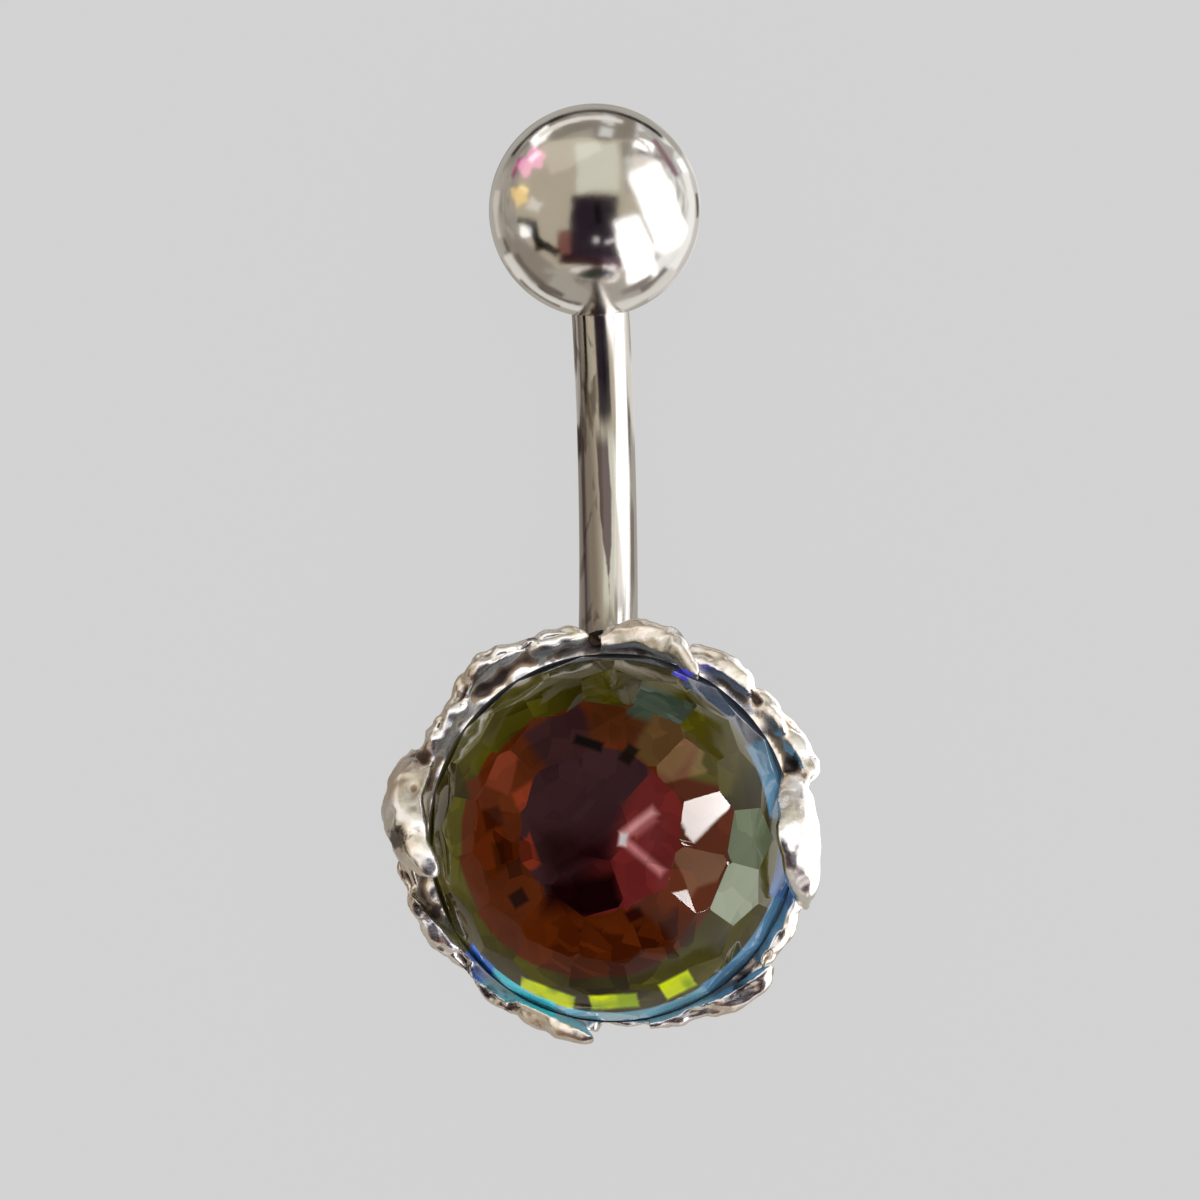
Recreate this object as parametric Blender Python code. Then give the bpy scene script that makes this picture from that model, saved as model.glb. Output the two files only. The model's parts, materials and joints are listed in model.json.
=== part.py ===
"""Navel ring: a curved bar soldered to a cast leaf setting, a screw-on ball and a faceted dome stone.

It lies on its back: +Z is up and the way the stone faces, and the ball is on the +Y side.
Sizes here are in millimetres, because a Boolean is steadier at that scale. The end of the script
turns the finished pieces into metres.
"""

import math

import bmesh
import bpy
from mathutils import Matrix, Vector

METRES_PER_MM = 0.001

# Standard sizes
BAR_GAUGE = 1.65
BALL_DIAMETER = 6.0
STONE_DIAMETER = 10.0

# Layout, lying on its back
BALL_TO_STONE = 17.7
BAR_HALF_BEND = math.radians(28)
BAR_RISE = math.radians(6)

# Ball, its bore and the hidden post
POST_DIAMETER = 1.2
POST_LENGTH = 2.4
POST_CHAMFER = 0.15
BORE_CLEARANCE = 0.05
BORE_END_SPACE = 0.25
SHOULDER_SINK = 0.3
MOUTH_ROUND = 0.06

# Stone
GIRDLE_HEIGHT = 0.45
PAVILION_DEPTH = 2.2
CULET_RADIUS = 0.5
TABLE_SHARE = 0.982
FACET_SHARE = 0.982
PAVILION_FACETS = 16
PAVILION_CUT_SHARE = 0.985

# Setting
SEAT_CLEARANCE = 0.05
CUP_FLOOR = 0.7
CUP_WALL = 0.55
CUP_BASE_SHARE = 0.66
CUP_WAIST_SHARE = 0.72
CAVITY_SHARE = 0.56
CUP_EDGE = 0.15
RIM_LIP = 0.12
GALLERY_INNER_SHARE = 1.02
GALLERY_OUTER_SHARE = 1.075
GALLERY_DROP_SHARE = 0.2
GALLERY_GAP = (171.0, 186.0)
BAR_END_SHARE = 1.045
LEAF_RIB_SHARE = 0.22
LEAF_ROOT_SHARE = 0.7
LEAF_WIDEST = 0.55
LEAF_TIP_SHARE = 0.14
LEAF_THIN_SHARE = 0.5
LEAF_LOBES = 3
LEAF_LOBE_DEPTH = 0.13

# Edges sharper than this stay sharp, in degrees
STONE_SHARP = 4
METAL_SHARP = 35

# Mesh steps
BALL_STEPS = 44
BALL_RINGS = 20
BAR_STEPS = 24
BAR_STATIONS = 26
STONE_STEPS = 64
STONE_RINGS = 16
CUP_STEPS = 72
LEAF_STATIONS = 18
LEAF_SIDES = 8

STONE_RADIUS = STONE_DIAMETER / 2
BALL_RADIUS = BALL_DIAMETER / 2
BAR_RADIUS = BAR_GAUGE / 2
POST_RADIUS = POST_DIAMETER / 2
CULET_Z = CUP_FLOOR + SEAT_CLEARANCE
GIRDLE_LOW_Z = CULET_Z + PAVILION_DEPTH
GIRDLE_Z = GIRDLE_LOW_Z + GIRDLE_HEIGHT

# Dome facets: degrees from the axis, how many, and degrees clockwise from the bar to the first one
DOME_COLUMNS = ("lean", "count", "first")
DOME_ROWS = (
    (17.0, 6, 13.0),
    (34.0, 12, 28.0),
    (51.0, 16, 4.0),
    (67.0, 16, 15.25),
)

# Degrees clockwise from the bar, and how far the wall behind the leaves rises above the girdle
# there, as a share of the stone's radius
GALLERY_COLUMNS = ("angle", "rise")
GALLERY_HEIGHTS = (
    (0, 0.02),
    (8, 0.06),
    (18, 0.17),
    (78, 0.17),
    (112, 0.06),
    (171, 0.04),
    (186, 0.04),
    (232, 0.05),
    (254, 0.15),
    (338, 0.16),
    (352, 0.06),
    (360, 0.02),
)

# Leaves: angles in degrees clockwise from the bar, radii, heights above the girdle, widths and
# thicknesses as shares of the stone's radius. The roll lifts the inner edge.
LEAF_COLUMNS = (
    "start", "end", "r_start", "r_mid", "r_tip", "h_start", "h_mid", "h_tip", "width", "thick", "roll",
)  # fmt: skip
LEAVES = (
    (-2, 32, 1.07, 1.115, 0.975, 0.08, 0.17, 0.35, 0.21, 0.13, 15),
    (24, 48, 1.09, 1.11, 1.10, 0.06, 0.14, 0.18, 0.17, 0.14, -20),
    (45, 64, 1.09, 1.10, 1.09, 0.04, 0.10, 0.12, 0.15, 0.14, 10),
    (55, 77, 1.08, 1.13, 1.15, 0.06, 0.13, 0.22, 0.18, 0.14, -15),
    (72, 113, 1.05, 1.02, 1.12, 0.14, 0.44, 0.20, 0.31, 0.13, 42),
    (109, 133, 1.05, 1.06, 1.06, 0.02, 0.06, 0.06, 0.15, 0.13, 0),
    (159, 130, 1.04, 1.10, 1.13, 0.03, 0.09, 0.17, 0.16, 0.14, -20),
    (171, 152, 1.04, 1.05, 1.05, 0.02, 0.03, 0.05, 0.11, 0.11, 0),
    (212, 186, 1.06, 1.06, 1.11, 0.03, 0.08, 0.15, 0.17, 0.14, -15),
    (205, 235, 1.06, 1.085, 1.07, 0.00, 0.03, 0.04, 0.12, 0.12, 0),
    (229, 257, 1.05, 1.09, 1.17, 0.04, 0.10, 0.16, 0.16, 0.14, -25),
    (250, 274, 1.08, 1.12, 1.13, 0.05, 0.11, 0.15, 0.17, 0.14, 0),
    (296, 257, 1.13, 1.115, 0.945, 0.10, 0.33, 0.41, 0.31, 0.13, 28),
    (289, 318, 1.07, 1.10, 1.09, 0.06, 0.14, 0.12, 0.17, 0.14, 20),
    (311, 337, 1.10, 1.16, 1.14, 0.06, 0.15, 0.16, 0.18, 0.14, -15),
    (331, 356, 1.11, 1.125, 1.10, 0.08, 0.14, 0.09, 0.17, 0.14, 15),
)  # fmt: skip


def clear_scene():
    for obj in list(bpy.data.objects):
        bpy.data.objects.remove(obj, do_unlink=True)


def metal(name, colour, roughness):
    material = bpy.data.materials.new(name)
    material.use_nodes = True
    shader = material.node_tree.nodes["Principled BSDF"]
    shader.inputs["Base Color"].default_value = (*colour, 1.0)
    shader.inputs["Metallic"].default_value = 1.0
    shader.inputs["Roughness"].default_value = roughness
    return material


def crystal(name, colour):
    material = bpy.data.materials.new(name)
    material.use_nodes = True
    shader = material.node_tree.nodes["Principled BSDF"]
    shader.inputs["Base Color"].default_value = (*colour, 1.0)
    shader.inputs["Roughness"].default_value = 0.05
    return material


def add_object(name, points, faces, material=None):
    mesh = bpy.data.meshes.new(name)
    mesh.from_pydata([tuple(p) for p in points], [], faces)
    mesh.validate()
    obj = bpy.data.objects.new(name, mesh)
    bpy.context.scene.collection.objects.link(obj)
    if material:
        mesh.materials.append(material)
    return obj


def set_outward(obj):
    work = bmesh.new()
    work.from_mesh(obj.data)
    bmesh.ops.recalc_face_normals(work, faces=work.faces[:])
    if work.calc_volume(signed=True) < 0:
        bmesh.ops.reverse_faces(work, faces=work.faces[:])
    work.to_mesh(obj.data)
    work.free()


def combine(obj, helper, operation, touches_itself=False):
    helper.hide_render = True
    helper.display_type = "WIRE"
    modifier = obj.modifiers.new(helper.name, "BOOLEAN")
    modifier.operation = operation
    modifier.solver = "EXACT"
    modifier.use_self = touches_itself
    modifier.object = helper


def apply_modifiers(obj, material):
    """Makes the shape that the modifiers give the object's own mesh, and removes their helpers."""
    graph = bpy.context.evaluated_depsgraph_get()
    mesh = bpy.data.meshes.new_from_object(obj.evaluated_get(graph))
    for helper in [modifier.object for modifier in obj.modifiers]:
        bpy.data.objects.remove(helper, do_unlink=True)
    obj.modifiers.clear()
    obj.data = mesh
    mesh.materials.clear()
    mesh.materials.append(material)


def smooth_with_edges(obj, degrees):
    obj.data.shade_smooth()
    obj.data.set_sharp_from_angle(angle=math.radians(degrees))


def loft(rings):
    """Points and faces of a closed solid through rings of equal length, with flat ends."""
    count = len(rings[0])
    points = [p for ring in rings for p in ring]
    faces = []
    for i in range(len(rings) - 1):
        low, high = i * count, (i + 1) * count
        for j in range(count):
            k = (j + 1) % count
            faces.append((low + j, low + k, high + k, high + j))
    faces.append(tuple(range(count))[::-1])
    last = (len(rings) - 1) * count
    faces.append(tuple(range(last, last + count)))
    return points, faces


def lathe(profile, steps):
    """A solid of revolution about Z. The profile runs from axis to axis as (radius, height)."""
    points = []
    rows = []
    for radius, height in profile:
        if radius < 1e-9:
            rows.append([len(points)])
            points.append((0.0, 0.0, height))
            continue
        rows.append(list(range(len(points), len(points) + steps)))
        for j in range(steps):
            turn = 2 * math.pi * j / steps
            points.append((radius * math.cos(turn), radius * math.sin(turn), height))
    faces = []
    for low, high in zip(rows, rows[1:]):
        for j in range(steps):
            k = (j + 1) % steps
            corners = [low[j % len(low)], low[k % len(low)], high[k % len(high)], high[j % len(high)]]
            faces.append(tuple(dict.fromkeys(corners)))
    return points, faces


def around(clock_degrees):
    """The outward direction at this angle, clockwise from the bar's side, seen from above."""
    turn = math.radians(clock_degrees)
    return Vector((math.sin(turn), math.cos(turn), 0.0))


def bezier(start, mid, end, t):
    """A curve that passes through mid half way."""
    control = 2 * mid - (start + end) / 2
    return start * (1 - t) ** 2 + 2 * control * t * (1 - t) + end * t * t


def dome_profile(radius, rings):
    """From the girdle plane up to the pole, about the girdle's centre."""
    angles = [math.pi / 2 * i / rings for i in range(rings)]
    return [(radius * math.cos(a), radius * math.sin(a)) for a in angles] + [(0.0, radius)]


def cut_plane(work, point, normal):
    """Cuts the convex body with this plane and fills the new face."""
    everything = work.verts[:] + work.edges[:] + work.faces[:]
    cut = bmesh.ops.bisect_plane(
        work, geom=everything, dist=1e-6, plane_co=point, plane_no=normal, clear_outer=True
    )
    edges = [item for item in cut["geom_cut"] if isinstance(item, bmesh.types.BMEdge)]
    if edges:
        bmesh.ops.contextual_create(work, geom=edges)


def build_stone(material):
    profile = [(0.0, CULET_Z), (CULET_RADIUS, CULET_Z), (STONE_RADIUS, GIRDLE_LOW_Z)]
    profile += [(r, GIRDLE_Z + h) for r, h in dome_profile(STONE_RADIUS, STONE_RINGS)]
    stone = add_object("stone", *lathe(profile, STONE_STEPS), material)
    set_outward(stone)
    work = bmesh.new()
    work.from_mesh(stone.data)
    centre = Vector((0.0, 0.0, GIRDLE_Z))
    up = Vector((0.0, 0.0, 1.0))
    cut_plane(work, centre + up * STONE_RADIUS * TABLE_SHARE, up)
    for values in DOME_ROWS:
        row = dict(zip(DOME_COLUMNS, values))
        lean = math.radians(row["lean"])
        for i in range(row["count"]):
            side = around(row["first"] + 360 * i / row["count"])
            normal = side * math.sin(lean) + up * math.cos(lean)
            cut_plane(work, centre + normal * STONE_RADIUS * FACET_SHARE, normal)
    slope = math.atan2(STONE_RADIUS - CULET_RADIUS, PAVILION_DEPTH)
    for i in range(PAVILION_FACETS):
        side = around(360 * i / PAVILION_FACETS)
        normal = side * math.cos(slope) - up * math.sin(slope)
        middle = side * (STONE_RADIUS + CULET_RADIUS) / 2 * PAVILION_CUT_SHARE
        cut_plane(work, middle + up * (CULET_Z + GIRDLE_LOW_Z) / 2, normal)
    work.to_mesh(stone.data)
    work.free()
    smooth_with_edges(stone, STONE_SHARP)
    return stone


def build_stone_space():
    """The stone's envelope with its clearance, which the setting is cut with."""
    grown = STONE_RADIUS + SEAT_CLEARANCE
    slope = PAVILION_DEPTH / (STONE_RADIUS - CULET_RADIUS)
    seat_high = GIRDLE_LOW_Z - SEAT_CLEARANCE * math.hypot(1, slope)
    cavity = CAVITY_SHARE * STONE_RADIUS
    seat_low = seat_high - (STONE_RADIUS - cavity) * slope
    profile = [(0.0, CUP_FLOOR), (cavity, CUP_FLOOR), (cavity, seat_low)]
    profile += [(STONE_RADIUS, seat_high), (grown, GIRDLE_LOW_Z)]
    profile += [(r, GIRDLE_Z + h) for r, h in dome_profile(grown, STONE_RINGS)]
    space = add_object("stone_space", *lathe(profile, STONE_STEPS))
    set_outward(space)
    return space


def build_cup():
    base = CUP_BASE_SHARE * STONE_RADIUS
    rim = STONE_RADIUS + SEAT_CLEARANCE + RIM_LIP
    waist_z = GIRDLE_LOW_Z - CUP_WALL * 2
    waist = base + (rim - base) * CUP_WAIST_SHARE
    profile = [
        (0.0, 0.0),
        (base - CUP_EDGE, 0.0),
        (base, CUP_EDGE),
        (waist, waist_z),
        (rim, GIRDLE_LOW_Z - CUP_WALL / 2),
        (rim, GIRDLE_LOW_Z + GIRDLE_HEIGHT / 3),
        (0.0, GIRDLE_LOW_Z + GIRDLE_HEIGHT / 3),
    ]
    cup = add_object("bar_and_setting", *lathe(profile, CUP_STEPS))
    set_outward(cup)
    return cup


def gallery_rise(clock_degrees):
    """The wall's rise at this angle, in a straight line between the table's rows."""
    angle = clock_degrees % 360
    rows = [dict(zip(GALLERY_COLUMNS, values)) for values in GALLERY_HEIGHTS]
    for low, high in zip(rows, rows[1:]):
        if low["angle"] <= angle <= high["angle"]:
            share = (angle - low["angle"]) / (high["angle"] - low["angle"])
            return low["rise"] + (high["rise"] - low["rise"]) * share
    return rows[-1]["rise"]


def build_gallery():
    """The wall behind the leaves. It stops at both sides of the gap in the leaves."""
    start, end = GALLERY_GAP[1], GALLERY_GAP[0] + 360
    low = GIRDLE_LOW_Z - GALLERY_DROP_SHARE * STONE_RADIUS
    inner = GALLERY_INNER_SHARE * STONE_RADIUS
    outer = GALLERY_OUTER_SHARE * STONE_RADIUS
    foot = inner - CUP_WALL
    rings = []
    for i in range(CUP_STEPS):
        angle = start + (end - start) * i / (CUP_STEPS - 1)
        side = around(angle)
        high = GIRDLE_Z + gallery_rise(angle) * STONE_RADIUS
        flare = [(foot, low), (inner, low + CUP_WALL / 2), (outer, low + CUP_WALL)]
        section = flare + [(outer, high), (foot, high)]
        rings.append([side * r + Vector((0.0, 0.0, z)) for r, z in section])
    gallery = add_object("gallery", *loft(rings))
    set_outward(gallery)
    return gallery


def leaf_width(t):
    """The leaf's width at this share of its length, as a share of its widest, without its lobes."""
    if t < LEAF_WIDEST:
        return LEAF_ROOT_SHARE + (1 - LEAF_ROOT_SHARE) * math.sin(math.pi / 2 * t / LEAF_WIDEST)
    narrowing = (t - LEAF_WIDEST) / (1 - LEAF_WIDEST)
    return max(math.sqrt(1 - narrowing**2), LEAF_TIP_SHARE)


def leaf_lobes(t):
    """How far the leaf's lobed edge draws in at this share of its length."""
    return 1 - LEAF_LOBE_DEPTH * (1 - abs(math.sin(math.pi * LEAF_LOBES * t)))


def build_leaf(index, row):
    leaf = dict(zip(LEAF_COLUMNS, row))
    up = Vector((0.0, 0.0, 1.0))
    roll = math.radians(leaf["roll"])
    rings = []
    for i in range(LEAF_STATIONS + 1):
        t = i / LEAF_STATIONS
        side = around(leaf["start"] + (leaf["end"] - leaf["start"]) * t)
        radius = bezier(leaf["r_start"], leaf["r_mid"], leaf["r_tip"], t) * STONE_RADIUS
        height = bezier(leaf["h_start"], leaf["h_mid"], leaf["h_tip"], t) * STONE_RADIUS
        middle = side * radius + up * (GIRDLE_Z + height)
        across = -side * math.cos(roll) + up * math.sin(roll)
        lift = side * math.sin(roll) + up * math.cos(roll)
        half = leaf["width"] * STONE_RADIUS / 2 * leaf_width(t) * leaf_lobes(t)
        thinning = LEAF_THIN_SHARE + (1 - LEAF_THIN_SHARE) * leaf_width(t)
        thick = leaf["thick"] * STONE_RADIUS / 2 * thinning
        ring = []
        for j in range(LEAF_SIDES):
            turn = 2 * math.pi * j / LEAF_SIDES
            rib = 1 + LEAF_RIB_SHARE if j == LEAF_SIDES // 4 else 1.0
            ring.append(middle + across * half * math.cos(turn) + lift * thick * math.sin(turn) * rib)
        rings.append(ring)
    helper = add_object(f"leaf_{index:02d}", *loft(rings))
    set_outward(helper)
    return helper


def bar_frame():
    """Where the bar meets the ball and the setting, its bend's centre and radius, and the ball's centre."""
    enter = BAR_HALF_BEND - BAR_RISE
    ball_z = BALL_RADIUS
    shoulder = BALL_RADIUS - SHOULDER_SINK
    ball = Vector((0.0, BALL_TO_STONE, ball_z))
    axis = Vector((0.0, math.cos(enter), math.sin(enter)))
    top = ball - axis * shoulder
    run = top.y - BAR_END_SHARE * STONE_RADIUS
    chord = run / math.cos(BAR_RISE)
    radius = chord / 2 / math.sin(BAR_HALF_BEND)
    centre = top + Vector((0.0, -math.sin(enter), math.cos(enter))) * radius
    return ball, axis, top, centre, radius


def tube_ring(middle, across, lift, radius, steps):
    ring = []
    for j in range(steps):
        turn = 2 * math.pi * j / steps
        ring.append(middle + across * radius * math.cos(turn) + lift * radius * math.sin(turn))
    return ring


def build_bar():
    """The bent bar and the hidden post at its upper end, as one rod."""
    ball, axis, top, centre, radius = bar_frame()
    across = Vector((1.0, 0.0, 0.0))
    lift = Vector((0.0, -axis.z, axis.y))
    tip = top + axis * POST_LENGTH
    rings = [tube_ring(tip, across, lift, POST_RADIUS - POST_CHAMFER, BAR_STEPS)]
    rings.append(tube_ring(tip - axis * POST_CHAMFER, across, lift, POST_RADIUS, BAR_STEPS))
    rings.append(tube_ring(top, across, lift, POST_RADIUS, BAR_STEPS))
    rings.append(tube_ring(top, across, lift, BAR_RADIUS - MOUTH_ROUND, BAR_STEPS))
    arm = top - centre
    for i in range(BAR_STATIONS + 1):
        turn = Matrix.Rotation(-2 * BAR_HALF_BEND * i / BAR_STATIONS, 3, across)
        spot = centre + turn @ arm
        if i == 0:
            spot = top - axis * MOUTH_ROUND
        rings.append(tube_ring(spot, across, turn @ lift, BAR_RADIUS, BAR_STEPS))
    bar = add_object("bar", *loft(rings))
    set_outward(bar)
    return bar


def build_ball(material):
    """The ball about its own centre, turned about the post's axis, which its origin lies on."""
    ball, axis, top, centre, radius = bar_frame()
    mouth = BAR_RADIUS + BORE_CLEARANCE
    seat = -(BALL_RADIUS - SHOULDER_SINK) + BORE_CLEARANCE
    bore = POST_RADIUS + BORE_CLEARANCE
    bore_end = -(BALL_RADIUS - SHOULDER_SINK) + POST_LENGTH + BORE_END_SPACE
    lip = math.asin((mouth + MOUTH_ROUND) / BALL_RADIUS)
    lip_z = -BALL_RADIUS * math.cos(lip)
    profile = [(0.0, bore_end), (bore, bore_end), (bore, seat), (mouth, seat), (mouth, lip_z + MOUTH_ROUND)]
    for i in range(BALL_RINGS):
        turn = lip + (math.pi - lip) * i / BALL_RINGS
        profile.append((BALL_RADIUS * math.sin(turn), -BALL_RADIUS * math.cos(turn)))
    profile.append((0.0, BALL_RADIUS))
    obj = add_object("top_ball", *lathe(profile, BALL_STEPS), material)
    set_outward(obj)
    obj.data.transform(Vector((0.0, 0.0, 1.0)).rotation_difference(axis).to_matrix().to_4x4())
    obj.location = ball
    smooth_with_edges(obj, METAL_SHARP)
    return obj


def settle(nodes):
    """Turns millimetres into metres, with the middle of the whole box's underside on the origin."""
    corners = [obj.location + v.co for obj in nodes for v in obj.data.vertices]
    low = Vector(min(c[i] for c in corners) for i in range(3))
    high = Vector(max(c[i] for c in corners) for i in range(3))
    base = Vector(((low.x + high.x) / 2, (low.y + high.y) / 2, low.z))
    for obj in nodes:
        obj.data.transform(Matrix.Scale(METRES_PER_MM, 4))
        obj.location = (obj.location - base) * METRES_PER_MM


def main():
    clear_scene()
    bpy.context.scene.unit_settings.system = "METRIC"
    stone = build_stone(crystal("stone_crystal", (0.16, 0.03, 0.06)))
    setting = build_cup()
    combine(setting, build_gallery(), "UNION")
    for index, row in enumerate(LEAVES):
        combine(setting, build_leaf(index + 1, row), "UNION")
    combine(setting, build_bar(), "UNION")
    combine(setting, build_stone_space(), "DIFFERENCE", touches_itself=True)
    apply_modifiers(setting, metal("setting_metal", (0.78, 0.76, 0.73), 0.22))
    smooth_with_edges(setting, METAL_SHARP)
    ball = build_ball(metal("ball_metal", (0.82, 0.80, 0.78), 0.08))
    settle((stone, setting, ball))


main()
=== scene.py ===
import json
import math
from collections import namedtuple

import bmesh
import bpy
import numpy as np
from mathutils import Matrix, Vector, noise


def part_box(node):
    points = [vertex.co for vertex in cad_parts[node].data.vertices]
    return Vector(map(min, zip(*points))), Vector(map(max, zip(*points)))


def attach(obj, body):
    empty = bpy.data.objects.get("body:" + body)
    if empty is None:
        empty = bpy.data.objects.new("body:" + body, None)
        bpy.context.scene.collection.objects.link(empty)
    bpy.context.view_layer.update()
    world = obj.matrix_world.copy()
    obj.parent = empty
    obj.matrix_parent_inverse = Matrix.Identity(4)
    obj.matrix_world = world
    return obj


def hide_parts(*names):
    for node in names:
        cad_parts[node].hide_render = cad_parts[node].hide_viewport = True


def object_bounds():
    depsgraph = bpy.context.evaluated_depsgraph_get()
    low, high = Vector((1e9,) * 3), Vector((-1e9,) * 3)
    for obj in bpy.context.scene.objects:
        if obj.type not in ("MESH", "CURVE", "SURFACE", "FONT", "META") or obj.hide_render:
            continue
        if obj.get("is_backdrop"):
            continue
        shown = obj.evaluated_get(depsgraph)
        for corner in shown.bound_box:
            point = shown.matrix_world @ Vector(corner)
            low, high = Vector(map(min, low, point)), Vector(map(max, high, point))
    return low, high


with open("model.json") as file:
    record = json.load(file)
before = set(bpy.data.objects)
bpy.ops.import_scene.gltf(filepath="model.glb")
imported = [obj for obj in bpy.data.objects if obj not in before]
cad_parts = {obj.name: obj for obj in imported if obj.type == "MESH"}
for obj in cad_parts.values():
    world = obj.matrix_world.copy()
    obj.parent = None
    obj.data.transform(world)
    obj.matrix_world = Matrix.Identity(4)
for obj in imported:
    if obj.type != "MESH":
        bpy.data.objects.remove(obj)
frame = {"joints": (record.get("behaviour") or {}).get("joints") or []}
CAD_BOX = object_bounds()

MM = 0.001
TINY = 1e-6
UP = Vector((0.0, 0.0, 1.0))

# Places and sizes of the frame, in millimetres
STONE_LOW, STONE_HIGH = (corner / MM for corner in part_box("stone"))
BALL_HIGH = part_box("top_ball")[1] / MM
AXIS = Vector(((STONE_LOW.x + STONE_HIGH.x) / 2, (STONE_LOW.y + STONE_HIGH.y) / 2, 0.0))
BALL_RADIUS = 3.0
BALL_AXIS = Vector(frame["joints"][0]["axis"]).normalized()
BALL_CENTRE = Vector((AXIS.x, BALL_HIGH.y - BALL_RADIUS, BALL_RADIUS))

# Sizes of the bar, ball, stone and setting, as they are in the part
BAR_RADIUS = 0.825
BAR_HALF_BEND = math.radians(28)
BAR_RISE = math.radians(6)
BAR_END = 5.225
POST_RADIUS = 0.6
POST_LENGTH = 2.4
POST_CHAMFER = 0.15
BORE_CLEARANCE = 0.05
BORE_END_SPACE = 0.25
SHOULDER_SINK = 0.3
MOUTH_ROUND = 0.06
STONE_RADIUS = 5.0
GIRDLE_LOW_Z = 2.95
GIRDLE_Z = 3.4
CULET_Z = 0.75
CULET_RADIUS = 0.5
FACET_SHARE = 0.982
SEAT_CLEARANCE = 0.05
CUP_FLOOR = 0.7
CUP_WALL = 0.55
CAVITY = 2.8
CUP_BASE = 3.3
CUP_EDGE = 0.15
CUP_WAIST_SHARE = 0.72
RIM_LIP = 0.12
GALLERY_INNER_SHARE = 1.02
GALLERY_OUTER_SHARE = 1.075
GALLERY_DROP_SHARE = 0.2
LEAF_RIB = 0.22
LEAF_ROOT = 0.7
LEAF_WIDEST = 0.55
LEAF_TIP = 0.14
LEAF_THIN = 0.5
LEAF_LOBES = 3
LEAF_LOBE_DEPTH = 0.13

# Details that only the dressed part has, in millimetres
BALL_INSET = 0.003
MOUTH_RISE = 0.012
BORE_CONE = 0.12
BORE_EDGE = 0.04
THREAD_PITCH = 0.25
THREAD_DEPTH = 0.07
THREAD_RELIEF = 0.15
POST_NECK = 0.02
STONE_WEAR = 0.08
COAT_INSET = 0.03
COAT_THICK = 0.02
COAT_RISE = 0.05
SKIN_VOXEL = 0.085
LUMP_DEPTH = 0.14
FOLD_DEPTH = 0.13
POCK_DEPTH = 0.5
PIT_DEPTH = 0.18
DEEPEST_RELIEF = -0.3
HIGHEST_RELIEF = 0.02
RECESS_DEPTH = 0.12

# How far a leaf's rib spreads to its sides
RIB_SPREAD = 0.45
# How far a leaf's lumpiness spreads, and what holds where no leaf is near
LEAF_SPREAD = 0.006
WALL_WEIGHT = 1e-4
WALL_LUMPY = 0.6
# How steeply a point faces the stone to count in full, and how much smoother the casting is there
FULLY_FACING = 0.6
INNER_SMOOTHNESS = 0.72

# Mesh steps
ROUND_STEPS = 128
BALL_RINGS = 96
EDGE_STEPS = 4
BAR_STEPS = 64
BAR_STATIONS = 120
THREAD_STATIONS = 110
THREAD_FADE = 8
GALLERY_STATIONS = 160
LEAF_STATIONS = 44
LEAF_SIDES = 28
DOME_STEPS = 160
DOME_RINGS = 40
SPACE_RINGS = 24
CARD_STEPS = 12
ARC_STATIONS = 48
ARC_ACROSS = 4

# Dome facets: degrees from the axis, how many, and degrees clockwise from the bar to the first one
DOME_ROWS = ((17, 6, 13), (34, 12, 28), (51, 16, 4), (67, 16, 15.25), (81, 16, 4))

# The wall behind the leaves: degrees clockwise from the bar, and its rise as a share of the radius
GALLERY_ANGLES = (0, 8, 18, 78, 112, 171, 186, 232, 254, 338, 352, 360)
GALLERY_RISES = (0.02, 0.06, 0.17, 0.17, 0.06, 0.04, 0.04, 0.05, 0.15, 0.16, 0.06, 0.02)
GALLERY_GAP = (171, 186)

# Leaves: from and to in degrees clockwise from the bar, radii and heights above the girdle at the foot,
# middle and tip, width and thickness as shares of the stone's radius, roll in degrees, and how lumpy
Leaf = namedtuple("Leaf", "start end r0 r1 r2 h0 h1 h2 width thick roll lumpy")
LEAF_ROWS = (
    (-2, 32, 1.07, 1.115, 0.975, 0.08, 0.17, 0.35, 0.21, 0.13, 15, 0.65),
    (24, 48, 1.09, 1.11, 1.1, 0.06, 0.14, 0.18, 0.17, 0.14, -20, 0.6),
    (45, 64, 1.09, 1.1, 1.09, 0.04, 0.1, 0.12, 0.15, 0.14, 10, 1),
    (55, 77, 1.08, 1.13, 1.15, 0.06, 0.13, 0.22, 0.18, 0.14, -15, 0.55),
    (72, 113, 1.05, 1.02, 1.12, 0.14, 0.44, 0.2, 0.31, 0.13, 42, 0.25),
    (109, 133, 1.05, 1.06, 1.06, 0.02, 0.06, 0.06, 0.15, 0.13, 0, 0.4),
    (159, 130, 1.04, 1.1, 1.13, 0.03, 0.09, 0.17, 0.16, 0.14, -20, 0.5),
    (171, 152, 1.04, 1.05, 1.05, 0.02, 0.03, 0.05, 0.11, 0.11, 0, 0.5),
    (212, 186, 1.06, 1.06, 1.11, 0.03, 0.08, 0.15, 0.17, 0.14, -15, 0.25),
    (205, 235, 1.06, 1.085, 1.07, 0, 0.03, 0.04, 0.12, 0.12, 0, 1),
    (229, 257, 1.05, 1.09, 1.17, 0.04, 0.1, 0.16, 0.16, 0.14, -25, 1.1),
    (250, 274, 1.08, 1.12, 1.13, 0.05, 0.11, 0.15, 0.17, 0.14, 0, 1.1),
    (296, 257, 1.13, 1.115, 0.945, 0.1, 0.33, 0.41, 0.31, 0.13, 28, 0.35),
    (289, 318, 1.07, 1.1, 1.09, 0.06, 0.14, 0.12, 0.17, 0.14, 20, 1),
    (311, 337, 1.1, 1.16, 1.14, 0.06, 0.15, 0.16, 0.18, 0.14, -15, 1),
    (331, 356, 1.11, 1.125, 1.1, 0.08, 0.14, 0.09, 0.17, 0.14, 15, 1),
)
LEAVES = [Leaf(*row) for row in LEAF_ROWS]

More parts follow.
